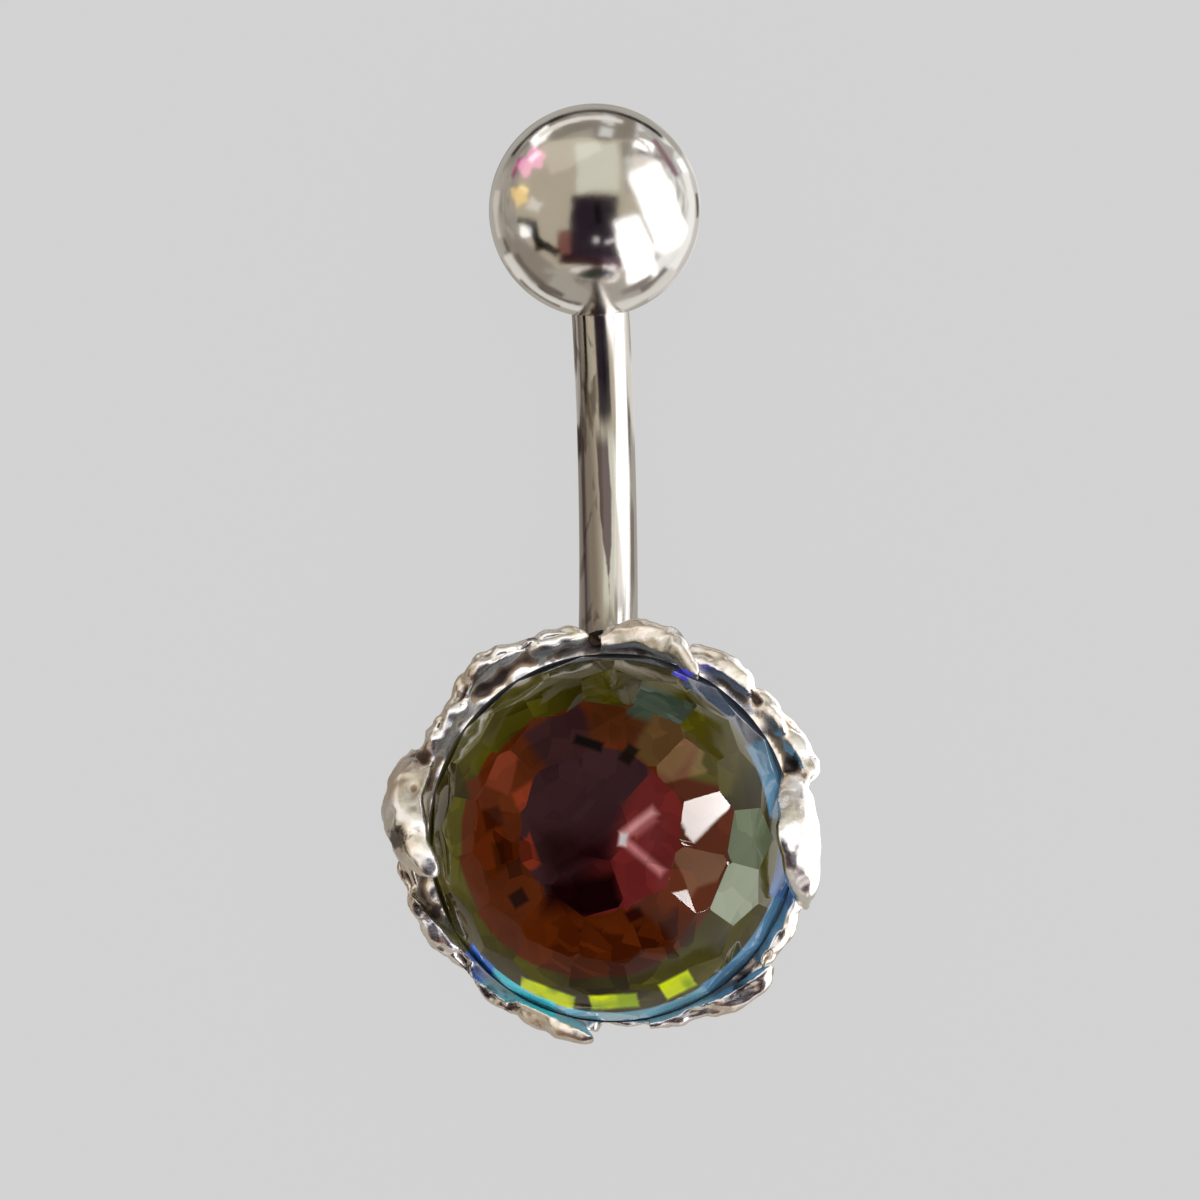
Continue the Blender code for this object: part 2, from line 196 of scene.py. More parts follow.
# Dark pits in the casting: degrees clockwise from the bar, share of the radius, size in millimetres
PITS = (
    (338, 1.13, 0.2), (294, 1.11, 0.3), (271, 1.13, 0.32), (250, 1.09, 0.2),
    (229, 1.08, 0.28), (221, 1.075, 0.24), (213, 1.075, 0.2), (48, 1.09, 0.16),
    (70, 1.08, 0.18), (141, 1.08, 0.2), (315, 1.12, 0.16),
)

# The camera looks down at the piece, a little from its lower right
CAMERA_LEAN_X = math.radians(4.0)
CAMERA_LEAN_Y = math.radians(7.0)
CAMERA_ROLL = math.radians(-1.7)
CAMERA_DISTANCE = 80.0
CAMERA_TARGET = Vector((0.032, -0.939, 3.2))
PIXELS_PER_MM = 36.0
PHOTO_PIXELS = 1200
SENSOR_WIDTH = 36.0


# Nodes

class Tree:
    """Adds nodes to one node tree and joins them."""

    def __init__(self, tree):
        self.tree = tree

    def feed(self, socket, value):
        if isinstance(value, bpy.types.NodeSocket):
            self.tree.links.new(value, socket)
        else:
            socket.default_value = value

    def surface(self, name, value):
        self.feed(self.tree.nodes["Principled BSDF"].inputs[name], value)

    def add(self, kind, inputs, **settings):
        node = self.tree.nodes.new(kind)
        for name, value in settings.items():
            setattr(node, name, value)
        for key, value in inputs.items():
            self.feed(node.inputs[key], value)
        return node

    def math(self, operation, *values, clamp=False):
        node = self.add("ShaderNodeMath", dict(enumerate(values)), operation=operation, use_clamp=clamp)
        return node.outputs[0]

    def vector(self, operation, *values):
        node = self.add("ShaderNodeVectorMath", dict(enumerate(values)), operation=operation)
        single = operation in ("DOT_PRODUCT", "LENGTH", "DISTANCE")
        return node.outputs["Value" if single else "Vector"]

    def times(self, first, second):
        return self.math("MULTIPLY", first, second)

    def dot(self, place, way):
        return self.vector("DOT_PRODUCT", place, way)

    def spread(self, value, low, high, first=0.0, last=1.0):
        """A smooth step from first to last as the value goes from low to high."""
        values = {"Value": value, "From Min": low, "From Max": high, "To Min": first, "To Max": last}
        return self.add("ShaderNodeMapRange", values, interpolation_type="SMOOTHSTEP").outputs[0]

    def mix(self, share, first, second):
        return self.add("ShaderNodeMix", {0: share, 6: first, 7: second}, data_type="RGBA").outputs[2]

    def noise(self, place, scale, detail=3.0, rough=0.5, warp=0.0):
        values = {"Vector": place, "Scale": scale, "Detail": detail}
        values |= {"Roughness": rough, "Distortion": warp}
        return self.add("ShaderNodeTexNoise", values).outputs[0]

    def place(self, scale):
        """Object coordinates in millimetres, stretched by the scale."""
        where = self.add("ShaderNodeTexCoord", {}).outputs["Object"]
        return self.vector("MULTIPLY", where, tuple(s / MM for s in scale))


def rgb(red, green, blue):
    """A linear colour from one as it looks on a screen, 0 to 255."""
    return tuple((v / 255) ** 2.2 for v in (red, green, blue)) + (1.0,)


def new_material(name, **sockets):
    material = bpy.data.materials.new(name)
    material.use_nodes = True
    tree = Tree(material.node_tree)
    for key, value in sockets.items():
        tree.surface(key.replace("_", " "), value)
    return material, tree


# Camera, light and floor

def add_object(name, data):
    obj = bpy.data.objects.new(name, data)
    bpy.context.scene.collection.objects.link(obj)
    return obj


def add_mesh(name, points, faces):
    mesh = bpy.data.meshes.new(name)
    mesh.from_pydata([tuple(p) for p in points], [], faces)
    return add_object(name, mesh)


def camera_frame():
    """The camera's right, up and back directions."""
    back = Vector((math.tan(CAMERA_LEAN_X), -math.tan(CAMERA_LEAN_Y), 1.0)).normalized()
    right = Vector((0.0, 1.0, 0.0)).cross(back).normalized()
    turn = Matrix.Rotation(CAMERA_ROLL, 3, back)
    return turn @ right, turn @ back.cross(right), back


def add_camera():
    right, up, back = camera_frame()
    data = bpy.data.cameras.new("camera")
    data.sensor_fit = "HORIZONTAL"
    data.sensor_width = SENSOR_WIDTH
    data.lens = SENSOR_WIDTH * CAMERA_DISTANCE * PIXELS_PER_MM / PHOTO_PIXELS
    data.clip_start = MM
    camera = add_object("camera", data)
    turn = Matrix((right, up, back)).transposed().to_4x4()
    camera.matrix_world = Matrix.Translation((CAMERA_TARGET + back * CAMERA_DISTANCE) * MM) @ turn
    bpy.context.scene.camera = camera


# Cards that the ball mirrors: across and up from its middle as shares of its radius, half width, half
# height, turn in degrees, colour and strength. Each stands nearer than the one before
CARDS = (
    (0, -0.8, 0.7, 0.27, 0, (172, 166, 156), 1),
    (-0.62, -0.5, 0.28, 0.16, -40, (146, 136, 124), 1),
    (-0.02, 0.77, 0.46, 0.12, 0, (140, 132, 120), 1),
    (0.03, 0.4, 0.22, 0.25, 2, (206, 204, 188), 1.15),
    (0.12, 0.78, 0.07, 0.12, -12, (212, 212, 208), 1.1),
    (0.31, 0.4, 0.05, 0.26, 5, (150, 144, 132), 1),
    (0.54, 0.56, 0.2, 0.12, -25, (182, 176, 168), 1),
    (0.46, 0.6, 0.1, 0.05, -20, (255, 252, 250), 1.8),
    (0.52, 0.51, 0.12, 0.02, -18, (96, 82, 80), 1),
    (0.66, 0.49, 0.22, 0.025, -56, (136, 104, 112), 1),
    (0.83, 0.4, 0.1, 0.03, -62, (252, 250, 248), 1.6),
    (-0.27, -0.3, 0.1, 0.12, 0, (126, 84, 76), 1),
    (-0.04, -0.46, 0.32, 0.05, -4, (58, 30, 34), 1),
    (0.17, -0.42, 0.12, 0.14, 20, (96, 74, 86), 1),
    (-0.01, -0.143, 0.235, 0.31, 0, (44, 36, 44), 1),
    (0.03, -0.02, 0.03, 0.11, 8, (16, 12, 14), 1),
    (0.01, -0.27, 0.025, 0.03, 0, (214, 206, 206), 1.2),
    (0.14, -0.28, 0.05, 0.02, 20, (206, 196, 200), 1.2),
    (0.61, 0.03, 0.19, 0.44, 21, (255, 252, 248), 1.8),
    (0.385, -0.35, 0.17, 0.33, 13, (255, 250, 246), 1.8),
    (0.5, -0.2, 0.02, 0.24, 24, (196, 192, 188), 1),
    (-0.13, -0.55, 0.1, 0.04, 12, (226, 216, 208), 1.1),
    (0.13, -0.56, 0.07, 0.07, 0, (242, 228, 226), 1.3),
)
# Small cards close to the ball, in the same terms
NEAR_CARDS = (
    (-0.73, 0.4, 0.11, 0.02, 66, (150, 78, 108), 1),
    (-0.63, -0.1, 0.1, 0.03, -10, (18, 14, 14), 1),
    (-0.55, -0.24, 0.05, 0.14, 24, (16, 12, 12), 1),
    (-0.42, -0.35, 0.1, 0.04, -28, (24, 16, 16), 1),
)
# Small coloured cards that only the ball shows. They add their glow to what lies behind them
NEAR_GLOWS = (
    (-0.5, 0.69, 0.12, 0.05, 42, (255, 253, 255), 1.1),
    (-0.59, 0.46, 0.14, 0.09, 44, (211, 114, 170), 1),
    (-0.56, 0.5, 0.07, 0.03, 44, (220, 190, 205), 1),
    (-0.7, 0.14, 0.08, 0.08, 20, (191, 150, 0), 1),
    (-0.66, 0.2, 0.05, 0.02, -40, (170, 150, 110), 1),
    (-0.56, 0.05, 0.07, 0.06, -30, (148, 149, 154), 1),
    (-0.64, -0.19, 0.05, 0.05, 0, (247, 251, 255), 1),
)
# Soft bright cards far off, each row for the ball, the bar or the casting alone
BALL_GLOWS = (
    (0.62, 0.12, 0.26, 0.46, 20, (250, 250, 255), 0.4),
    (0.3, -0.52, 0.24, 0.16, 10, (250, 250, 255), 0.25),
    (-0.2, 0.52, 0.26, 0.14, 20, (255, 250, 240), 0.14),
)
BAR_GLOWS = (
    (0.58, -0.16, 0.22, 0.56, 0, (255, 252, 252), 0.9),
    (0.36, 0.34, 0.16, 0.22, 0, (255, 252, 252), 0.5),
)
CASTING_GLOWS = (
    (0.08, 0.02, 0.44, 0.34, 24, (246, 246, 255), 0.7),
    (-0.34, 0.36, 0.24, 0.18, -30, (250, 246, 250), 0.45),
    (0.4, -0.5, 0.24, 0.18, 30, (250, 246, 250), 0.45),
)
# Arcs about the ball's middle: share of its radius, from and to in degrees from the right-hand side
# anticlockwise, half thickness, colour and strength
ARCS = (
    (0.91, -42, 24, 0.045, (232, 230, 226), 1.3),
    (0.965, -60, 50, 0.03, (206, 202, 196), 1),
    (0.965, -4, 10, 0.014, (84, 78, 74), 1),
    (0.86, -60, -38, 0.035, (118, 110, 104), 1),
    (0.86, 72, 128, 0.025, (226, 222, 216), 1.2),
    (0.965, 30, 215, 0.03, (176, 172, 164), 1),
    # The dark arc across the top is a painted shadow: the ball's own shadow on the floor, as the ball mirrors
    # it
    (0.925, 46, 148, 0.018, (40, 34, 34), 1),
    (0.92, 205, 325, 0.05, (214, 210, 204), 1.15),
    (0.84, 208, 250, 0.03, (104, 96, 88), 1),
    (0.88, 232, 262, 0.018, (88, 80, 74), 1),
    (0.95, 222, 250, 0.012, (120, 112, 104), 1),
    (0.8, -72, -48, 0.03, (132, 124, 118), 1),
    (0.93, 168, 196, 0.03, (204, 196, 186), 1.1),
    (0.89, 196, 206, 0.02, (96, 88, 82), 1),
)
# Small strong lamps far off that the stone's facets mirror
LAMPS = (
    (0.5, 0.14, 0.07, 0.08, 10, (255, 252, 248), 130),
    (0.44, -0.14, 0.06, 0.09, 10, (255, 214, 170), 13),
    (0.4, 0.41, 0.08, 0.08, 0, (255, 200, 150), 12),
    (0.345, -0.25, 0.05, 0.03, 0, (255, 250, 246), 130),
    (0.47, -0.32, 0.06, 0.03, 35, (255, 250, 246), 90),
    (0.565, -0.19, 0.03, 0.06, 0, (255, 250, 246), 90),
    (0.565, -0.375, 0.05, 0.05, 0, (255, 250, 246), 90),
    (0.28, -0.14, 0.05, 0.06, 0, (255, 236, 224), 50),
)
MIRRORED_TONE = (186, 176, 156)
FAR_REACH = 300.0
NEAR_REACH = 32.0
# How far out on the ball or a far-off piece a card may be mirrored
NEAR_EDGE = 0.995
FAR_EDGE = 0.98
CARD_STEP = 0.007
CARD_LIFT = 0.006
# Keeps the cards' wandering the same in each run
CARD_SEED = 1
# From this strength on, a card is sampled as a lamp
LAMP_STRENGTH = 1.5
FIRST_BOUNCE = 1.5
FLOOR_REACH = 600.0
FLOOR_DROP = 0.02
FLOOR_TONE = rgb(208, 208, 208)
SKY_TONE = (1.3, 1.3, 1.28, 1.0)


def on_sphere(u, v, edge, right, up, out):
    """The outward direction at this place on a sphere that is seen along out."""
    short = min(1.0, edge / max(math.hypot(u, v), TINY))
    u, v = u * short, v * short
    return right * u + up * v + out * math.sqrt(1 - u * u - v * v)


def mirrored_from_ball(u, v, index, farthest=FAR_REACH):
    """Where the camera looks to when it looks at this place on the ball: a point on the floor or far off."""
    right, _, back = camera_frame()
    view = (CAMERA_TARGET + back * CAMERA_DISTANCE - BALL_CENTRE).normalized()
    right = (right - view * right.dot(view)).normalized()
    normal = on_sphere(u, v, NEAR_EDGE, right, view.cross(right), view)
    start = BALL_CENTRE + normal * BALL_RADIUS
    way = 2 * normal.dot(view) * normal - view
    reach = farthest * (1 - CARD_STEP * index)
    if way.z < 0:
        reach = min(reach, (start.z - CARD_LIFT * (index + 1)) / -way.z)
    return start + way * reach


def mirrored_nearby(u, v, index):
    return mirrored_from_ball(u, v, index, NEAR_REACH)


def mirrored_far_off(u, v, index):
    """Where the camera looks to by way of a small round thing far from it, at this place on the thing."""
    right, up, back = camera_frame()
    normal = on_sphere(u, v, FAR_EDGE, right, up, back)
    return (2 * normal.dot(back) * normal - back) * FAR_REACH * (1 - CARD_STEP * index)


def seen_only_in(cards, *pieces):
    """Lets cards or the floor light and show in these pieces alone."""
    receivers = bpy.data.collections.new(f"lights_of_{pieces[0].name}")
    for piece in pieces:
        receivers.objects.link(piece)
    for card in cards:
        card.light_linking.receiver_collection = receivers


def add_card(name, points, across, tone, strength, adds=False, first_bounce=False):
    """A glowing card that only mirrors show, and a lamp only the first of them. It casts no shadow.

    A card that adds lets through what lies behind it.
    """
    columns = across + 1
    last_row = len(points) // columns - 1
    corners = [i for i in range(len(points) - columns - 1) if i % columns < across]
    faces = [(i, i + 1, i + columns + 1, i + columns) for i in corners]
    card = add_mesh(name, [p * MM for p in points], faces)
    inside = [0 < i % columns < across and 0 < i // columns < last_row for i in range(len(points))]
    edge = card.data.attributes.new("inside", "FLOAT", "POINT")
    edge.data.foreach_set("value", np.array(inside, np.float32))
    material = bpy.data.materials.new(name)
    material.use_nodes = True
    material.node_tree.nodes.clear()
    paint = Tree(material.node_tree)
    share = paint.add("ShaderNodeAttribute", {}, attribute_name="inside").outputs["Fac"]
    share = paint.spread(share, 0.0, 1.0)
    power = paint.times(share, strength) if adds else strength
    if first_bounce:
        depth = paint.add("ShaderNodeLightPath", {}).outputs["Ray Depth"]
        power = paint.times(paint.math("LESS_THAN", depth, FIRST_BOUNCE), power)
    glow = paint.add("ShaderNodeEmission", {"Color": rgb(*tone), "Strength": power}).outputs[0]
    clear = paint.add("ShaderNodeBsdfTransparent", {}).outputs[0]
    if adds:
        shown = paint.add("ShaderNodeAddShader", {0: clear, 1: glow})
    else:
        shown = paint.add("ShaderNodeMixShader", {0: share, 1: clear, 2: glow})
    paint.add("ShaderNodeOutputMaterial", {"Surface": shown.outputs[0]})
    material.cycles.emission_sampling = "NONE" if strength < LAMP_STRENGTH else "FRONT_BACK"
    card.data.materials.append(material)
    card.visible_camera = False
    card.visible_diffuse = False
    card.visible_transmission = False
    card.visible_shadow = False
    card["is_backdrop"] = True
    return card


def card_grid(x, y, wide, high, turn, waver, waves):
    """The card's points, which wander from their places by up to the waver."""
    turn = math.radians(turn)
    for i in range(CARD_STEPS + 1):
        for j in range(CARD_STEPS + 1):
            a, b = wide * (2 * i / CARD_STEPS - 1), high * (2 * j / CARD_STEPS - 1)
            u = x + a * math.cos(turn) - b * math.sin(turn)
            v = y + a * math.sin(turn) + b * math.cos(turn)
            push = noise.noise_vector(Vector((u * waves, v * waves, x * 9.0))) * waver
            yield u + push.x, v + push.y


def add_cards(name, rows, place, first=0, waver=lambda size: 0.0, waves=6.0, **how):
    """One card for each row. The place function says where its points are mirrored from."""
    cards = []
    for index, (x, y, wide, high, turn, tone, strength) in enumerate(rows, first):
        spots = card_grid(x, y, wide, high, turn, waver(min(wide, high)), waves)
        points = [place(u, v, index) for u, v in spots]
        cards.append(add_card(f"{name}_{index:02d}", points, CARD_STEPS, tone, strength, **how))
    return cards


def add_arcs():
    """Curved cards round the ball's edge, whose thickness varies along them."""
    for index, (radius, first, last, thick, tone, strength) in enumerate(ARCS, len(CARDS)):
        points = []
        for i in range(ARC_STATIONS + 1):
            turn = math.radians(first + (last - first) * i / ARC_STATIONS)
            varied = thick * (1.0 + 0.5 * noise.noise(Vector((turn * 5.0, index, 0.5))))
            for j in range(ARC_ACROSS + 1):
                r = radius + varied * (2 * j / ARC_ACROSS - 1)
                points.append(mirrored_from_ball(r * math.cos(turn), r * math.sin(turn), index))
        add_card(f"arc_{index:02d}", points, ARC_ACROSS, tone, strength)


def add_studio():
    """A soft pale world with glowing cards. Returns those for the ball, bar, casting and stone alone."""
    world = bpy.data.worlds.new("studio")
    world.use_nodes = True
    bpy.context.scene.world = world
    tree = Tree(world.node_tree)
    path = tree.add("ShaderNodeLightPath", {}).outputs
    tone = tree.mix(path["Is Glossy Ray"], SKY_TONE, rgb(*MIRRORED_TONE))
    background = world.node_tree.nodes["Background"]
    tree.feed(background.inputs["Color"], tree.mix(path["Is Camera Ray"], tone, FLOOR_TONE))
    add_arcs()
    noise.seed_set(CARD_SEED)
    add_cards("card", CARDS, mirrored_from_ball, waver=lambda size: min(0.03, 0.3 * size))
    close = {"place": mirrored_nearby, "waver": lambda size: 0.5 * size, "waves": 13.0}
    add_cards("near_card", NEAR_CARDS, **close)
    ball = add_cards("near_glow", NEAR_GLOWS, first=len(NEAR_CARDS), adds=True, **close)
    soft = {"place": mirrored_far_off, "waver": lambda size: 0.05, "adds": True}
    ball += add_cards("ball_glow", BALL_GLOWS, first=4, **soft)
    bar = add_cards("bar_glow", BAR_GLOWS, first=8, **soft)
    casting = add_cards("casting_glow", CASTING_GLOWS, first=12, **soft)
    behind = len(ARCS) + len(CARDS)
    stone = add_cards("lamp", LAMPS, mirrored_far_off, behind, adds=True, first_bounce=True)
    return ball, bar, casting, stone


def add_floor():
    """A plain pale floor, which metal mirrors with dull fields at the left and bright ones at the right."""
    reach = FLOOR_REACH * MM
    corners = [(-reach, -reach, 0), (reach, -reach, 0), (reach, reach, 0), (-reach, reach, 0)]
    floor = add_mesh("floor", corners, [(0, 1, 2, 3)])
    floor.location.z = -FLOOR_DROP * MM
    base = (0.02, 0.02, 0.02, 1.0)
    material, tree = new_material(
        "floor", Base_Color=base, Roughness=0.9, Specular_IOR_Level=0.0, Emission_Strength=0.97
    )
    place = tree.place((1, 1, 1))
    x = tree.dot(place, (1.0, 0.0, 0.0))
    y = tree.dot(place, (0.0, 1.0, 0.0))
    blotch = tree.noise(place, 0.16, 4.0, 0.6, 0.8)
    side = tree.math("ADD", tree.dot(place, (1.0, -0.25, 0.0)), tree.times(blotch, 9.0))
    shown = tree.mix(tree.spread(side, 2.0, 5.0), rgb(176, 168, 156), rgb(250, 248, 244))
    beside_bar = tree.times(tree.spread(x, 0.0, 2.0), tree.spread(x, 14.0, 18.0, 1.0, 0.0))
    beside_bar = tree.times(beside_bar, tree.spread(y, -4.0, -1.0))
    beside_bar = tree.times(beside_bar, tree.spread(y, 6.0, 8.0, 1.0, 0.0))
    blotched = tree.math("SUBTRACT", tree.spread(blotch, 0.42, 0.60, 0.0, 0.6), beside_bar, clamp=True)
    shown = tree.mix(blotched, shown, rgb(104, 98, 92))
    shown = tree.mix(beside_bar, shown, rgb(252, 250, 248))
    shade = tree.times(tree.spread(x, 11.0, 15.0), tree.spread(y, -2.0, 3.0, 1.0, 0.0))
    shown = tree.mix(tree.times(shade, 0.9), shown, rgb(60, 58, 54))
    glossy = tree.add("ShaderNodeLightPath", {}).outputs["Is Glossy Ray"]
    tree.surface("Emission Color", tree.mix(glossy, FLOOR_TONE, shown))
    material.cycles.emission_sampling = "NONE"
    floor.data.materials.append(material)
    floor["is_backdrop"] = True
    return floor


# Mesh helpers

def around(clock_degrees):
    """The outward direction at this angle, clockwise from the bar's side, seen from above."""
    turn = math.radians(clock_degrees)
    return Vector((math.sin(turn), math.cos(turn), 0.0))


def new_object(name, points, faces, material=None):
    """A smooth closed object from points in millimetres, its faces turned outward."""
    obj = add_mesh(name, points, faces)
    mesh = obj.data
    mesh.validate()
    work = bmesh.new()
    work.from_mesh(mesh)
    bmesh.ops.recalc_face_normals(work, faces=work.faces[:])
    if work.calc_volume(signed=True) < 0:
        bmesh.ops.reverse_faces(work, faces=work.faces[:])
    work.to_mesh(mesh)
    work.free()
    if material:
        mesh.materials.append(material)
    mesh.shade_smooth()
    return obj


def loft(rings):
    """A closed skin through rings of equally many points."""
    count = len(rings[0])
    faces = []
    for low in range(0, (len(rings) - 1) * count, count):
        for j in range(count):
            k = (j + 1) % count
            faces.append((low + j, low + k, low + count + k, low + count + j))
    last = (len(rings) - 1) * count
    faces += [tuple(range(count))[::-1], tuple(range(last, last + count))]
    return [p for ring in rings for p in ring], faces


def lathe(profile, steps):
    """A solid of revolution about Z. The profile runs from axis to axis as (radius, height)."""
    points, rows, faces = [], [], []
    for radius, height in profile:
        count = steps if radius > TINY else 1
        rows.append(range(len(points), len(points) + count))
        for j in range(count):
            turn = 2 * math.pi * j / steps
            points.append((radius * math.cos(turn), radius * math.sin(turn), height))
    for low, high in zip(rows, rows[1:]):
        for j in range(steps):
            k = (j + 1) % steps
            corners = [low[j % len(low)], low[k % len(low)], high[k % len(high)], high[j % len(high)]]
            faces.append(tuple(dict.fromkeys(corners)))
    return points, faces


def settle(obj, place):
    """Turns a finished mesh into metres at its place in the frame."""
    obj.data.transform(Matrix.Scale(MM, 4))
    obj.location = place * MM
    bpy.context.view_layer.update()


def apply_modifiers(obj):
    graph = bpy.context.evaluated_depsgraph_get()
    mesh = bpy.data.meshes.new_from_object(obj.evaluated_get(graph))
    obj.modifiers.clear()
    obj.data = mesh


def bezier(start, mid, end, t):
    """A curve through the three values, with the middle one at half way."""
    control = 2 * mid - (start + end) / 2
    return start * (1 - t) ** 2 + 2 * control * t * (1 - t) + end * t * t


# Polished steel

def polished_steel(name, streaks, painted_light_and_marks=None):
    material, tree = new_material(name, Metallic=1.0)
    place = tree.place(streaks)
    grain = tree.noise(place, 6.0, 4.0, 0.6)
    cloud = tree.noise(tree.place((1, 1, 1)), 0.9, 3.0, 0.5)
    colour = tree.mix(cloud, rgb(224, 222, 219), rgb(236, 234, 232))
    tree.surface("Base Color", painted_light_and_marks(tree, colour) if painted_light_and_marks else colour)
    tree.surface("Roughness", tree.spread(cloud, 0.3, 0.7, 0.12, 0.18))
    bump = tree.add("ShaderNodeBump", {"Strength": 0.04, "Distance": 0.00004, "Height": grain})
    tree.surface("Normal", bump.outputs[0])
    return material


# Ball

def build_ball(material):
    shoulder = -(BALL_RADIUS - SHOULDER_SINK)
    seat = shoulder + BORE_CLEARANCE
    end = shoulder + POST_LENGTH + BORE_END_SPACE
    mouth = BAR_RADIUS + BORE_CLEARANCE
    bore = POST_RADIUS + BORE_CLEARANCE
    radius = BALL_RADIUS - BALL_INSET
    lip = math.asin((mouth + MOUTH_ROUND) / radius)
    profile = [(0.0, end + BORE_CONE), (bore, end)]
    profile += [(bore, seat + BORE_EDGE), (bore + BORE_EDGE, seat), (mouth, seat)]
    for i in range(EDGE_STEPS + 1):
        turn = math.pi / 2 * i / EDGE_STEPS
        height = MOUTH_RISE * math.sin(turn) - radius * math.cos(lip)
        profile.append((mouth + MOUTH_ROUND * (1 - math.cos(turn)), height))
    for i in range(1, BALL_RINGS):
        turn = lip + (math.pi - lip) * i / BALL_RINGS
        profile.append((radius * math.sin(turn), -radius * math.cos(turn)))
    profile.append((0.0, radius))
    ball = new_object("screw_ball", *lathe(profile, ROUND_STEPS), material)
    ball.data.transform(UP.rotation_difference(BALL_AXIS).to_matrix().to_4x4())
    ball.data.set_sharp_from_angle(angle=math.radians(40))
    settle(ball, BALL_CENTRE)
    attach(ball, "ball")
    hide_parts("top_ball")
    return ball


# Bar with its threaded post

def bar_shade_reflection_and_marks(tree, colour):
    """Painted shade on the bar's left half, darker marks along its left edge, and a painted reflection of a
    dark thing down its middle.
    """
    place = tree.place((1, 1, 1))
    across = tree.dot(place, (1.0, 0.0324, 0.0))
    along = tree.dot(place, (0.0, 1.0, 0.0))
    # Painted reflection of a dark thing: a ragged stripe down the bar's middle
    ragged = tree.noise(tree.place((1, 0.12, 1)), 5.0, 3.0, 0.6)
    away = tree.math("ABSOLUTE", tree.math("SUBTRACT", across, 0.307))
    away = tree.math("ADD", away, tree.times(tree.math("SUBTRACT", ragged, 0.5), 0.10))
    width = tree.spread(along, 6.6, 9.4, 0.0, 0.17)
    painted_reflection_stripe = tree.spread(tree.math("SUBTRACT", away, width), -0.03, 0.03, 0.9, 0.0)
    painted_reflection_stripe = tree.times(painted_reflection_stripe, tree.spread(along, 11.0, 11.8, 1.0, 0.0))
    # Painted shade: the bar's left half duller than its right
    colour = tree.mix(tree.spread(across, -0.10, 0.24, 0.92, 0.0), colour, rgb(160, 152, 150))
    colour = tree.mix(painted_reflection_stripe, colour, rgb(108, 92, 100))
    marks = tree.spread(tree.noise(tree.place((1, 0.22, 1)), 1.7, 3.0, 0.65), 0.50, 0.60, 0.0, 0.8)
    left = tree.spread(tree.dot(place, (1.0, 0.0, 0.0)), -0.25, -0.05, 1.0, 0.0)
    return tree.mix(tree.times(marks, left), colour, rgb(112, 100, 92))


def build_bar(material):
    lift = Vector((0.0, -BALL_AXIS.z, BALL_AXIS.y))
    across = Vector((1.0, 0.0, 0.0))
    shoulder = BALL_CENTRE - BALL_AXIS * (BALL_RADIUS - SHOULDER_SINK)
    run = shoulder.y - (AXIS.y + BAR_END)
    bend = run / math.cos(BAR_RISE) / 2 / math.sin(BAR_HALF_BEND)
    centre = shoulder + lift * bend
    rings = []

    def ring(middle, radius, lift_now, wave=None):
        points = []
        for j in range(BAR_STEPS):
            turn = 2 * math.pi * j / BAR_STEPS
            r = radius - (wave(turn) if wave else 0.0)
            points.append(middle + across * r * math.cos(turn) + lift_now * r * math.sin(turn))
        rings.append(points)

    threaded = POST_LENGTH - POST_CHAMFER - THREAD_RELIEF
    ring(shoulder + BALL_AXIS * POST_LENGTH, POST_RADIUS - POST_CHAMFER, lift)
    for i in range(THREAD_STATIONS + 1):
        along = POST_LENGTH - POST_CHAMFER - threaded * i / THREAD_STATIONS
        fade = min(1.0, i / THREAD_FADE, (THREAD_STATIONS - i) / THREAD_FADE)

        def wave(turn, along=along, fade=fade):
            phase = (along / THREAD_PITCH - turn / (2 * math.pi)) % 1.0
            return THREAD_DEPTH * fade * abs(2 * phase - 1)

        ring(shoulder + BALL_AXIS * along, POST_RADIUS, lift, wave)
    ring(shoulder, POST_RADIUS - POST_NECK, lift)
    for i in range(EDGE_STEPS + 1):
        turn = math.pi / 2 * i / EDGE_STEPS
        rounding = MOUTH_ROUND * (1 - math.cos(turn))
        ring(shoulder - BALL_AXIS * rounding, BAR_RADIUS - MOUTH_ROUND * (1 - math.sin(turn)), lift)
    arm = shoulder - centre
    for i in range(2, BAR_STATIONS + 1):
        turn = Matrix.Rotation(-2 * BAR_HALF_BEND * i / BAR_STATIONS, 3, across)
        ring(centre + turn @ arm, BAR_RADIUS, turn @ lift)
    points, faces = loft(rings)
    bar = new_object("steel_bar", [p - AXIS for p in points], faces, material)
    bar.data.set_sharp_from_angle(angle=math.radians(50))
    settle(bar, AXIS)
    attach(bar, "ring")
    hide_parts("bar_and_setting")
    return bar


# Setting

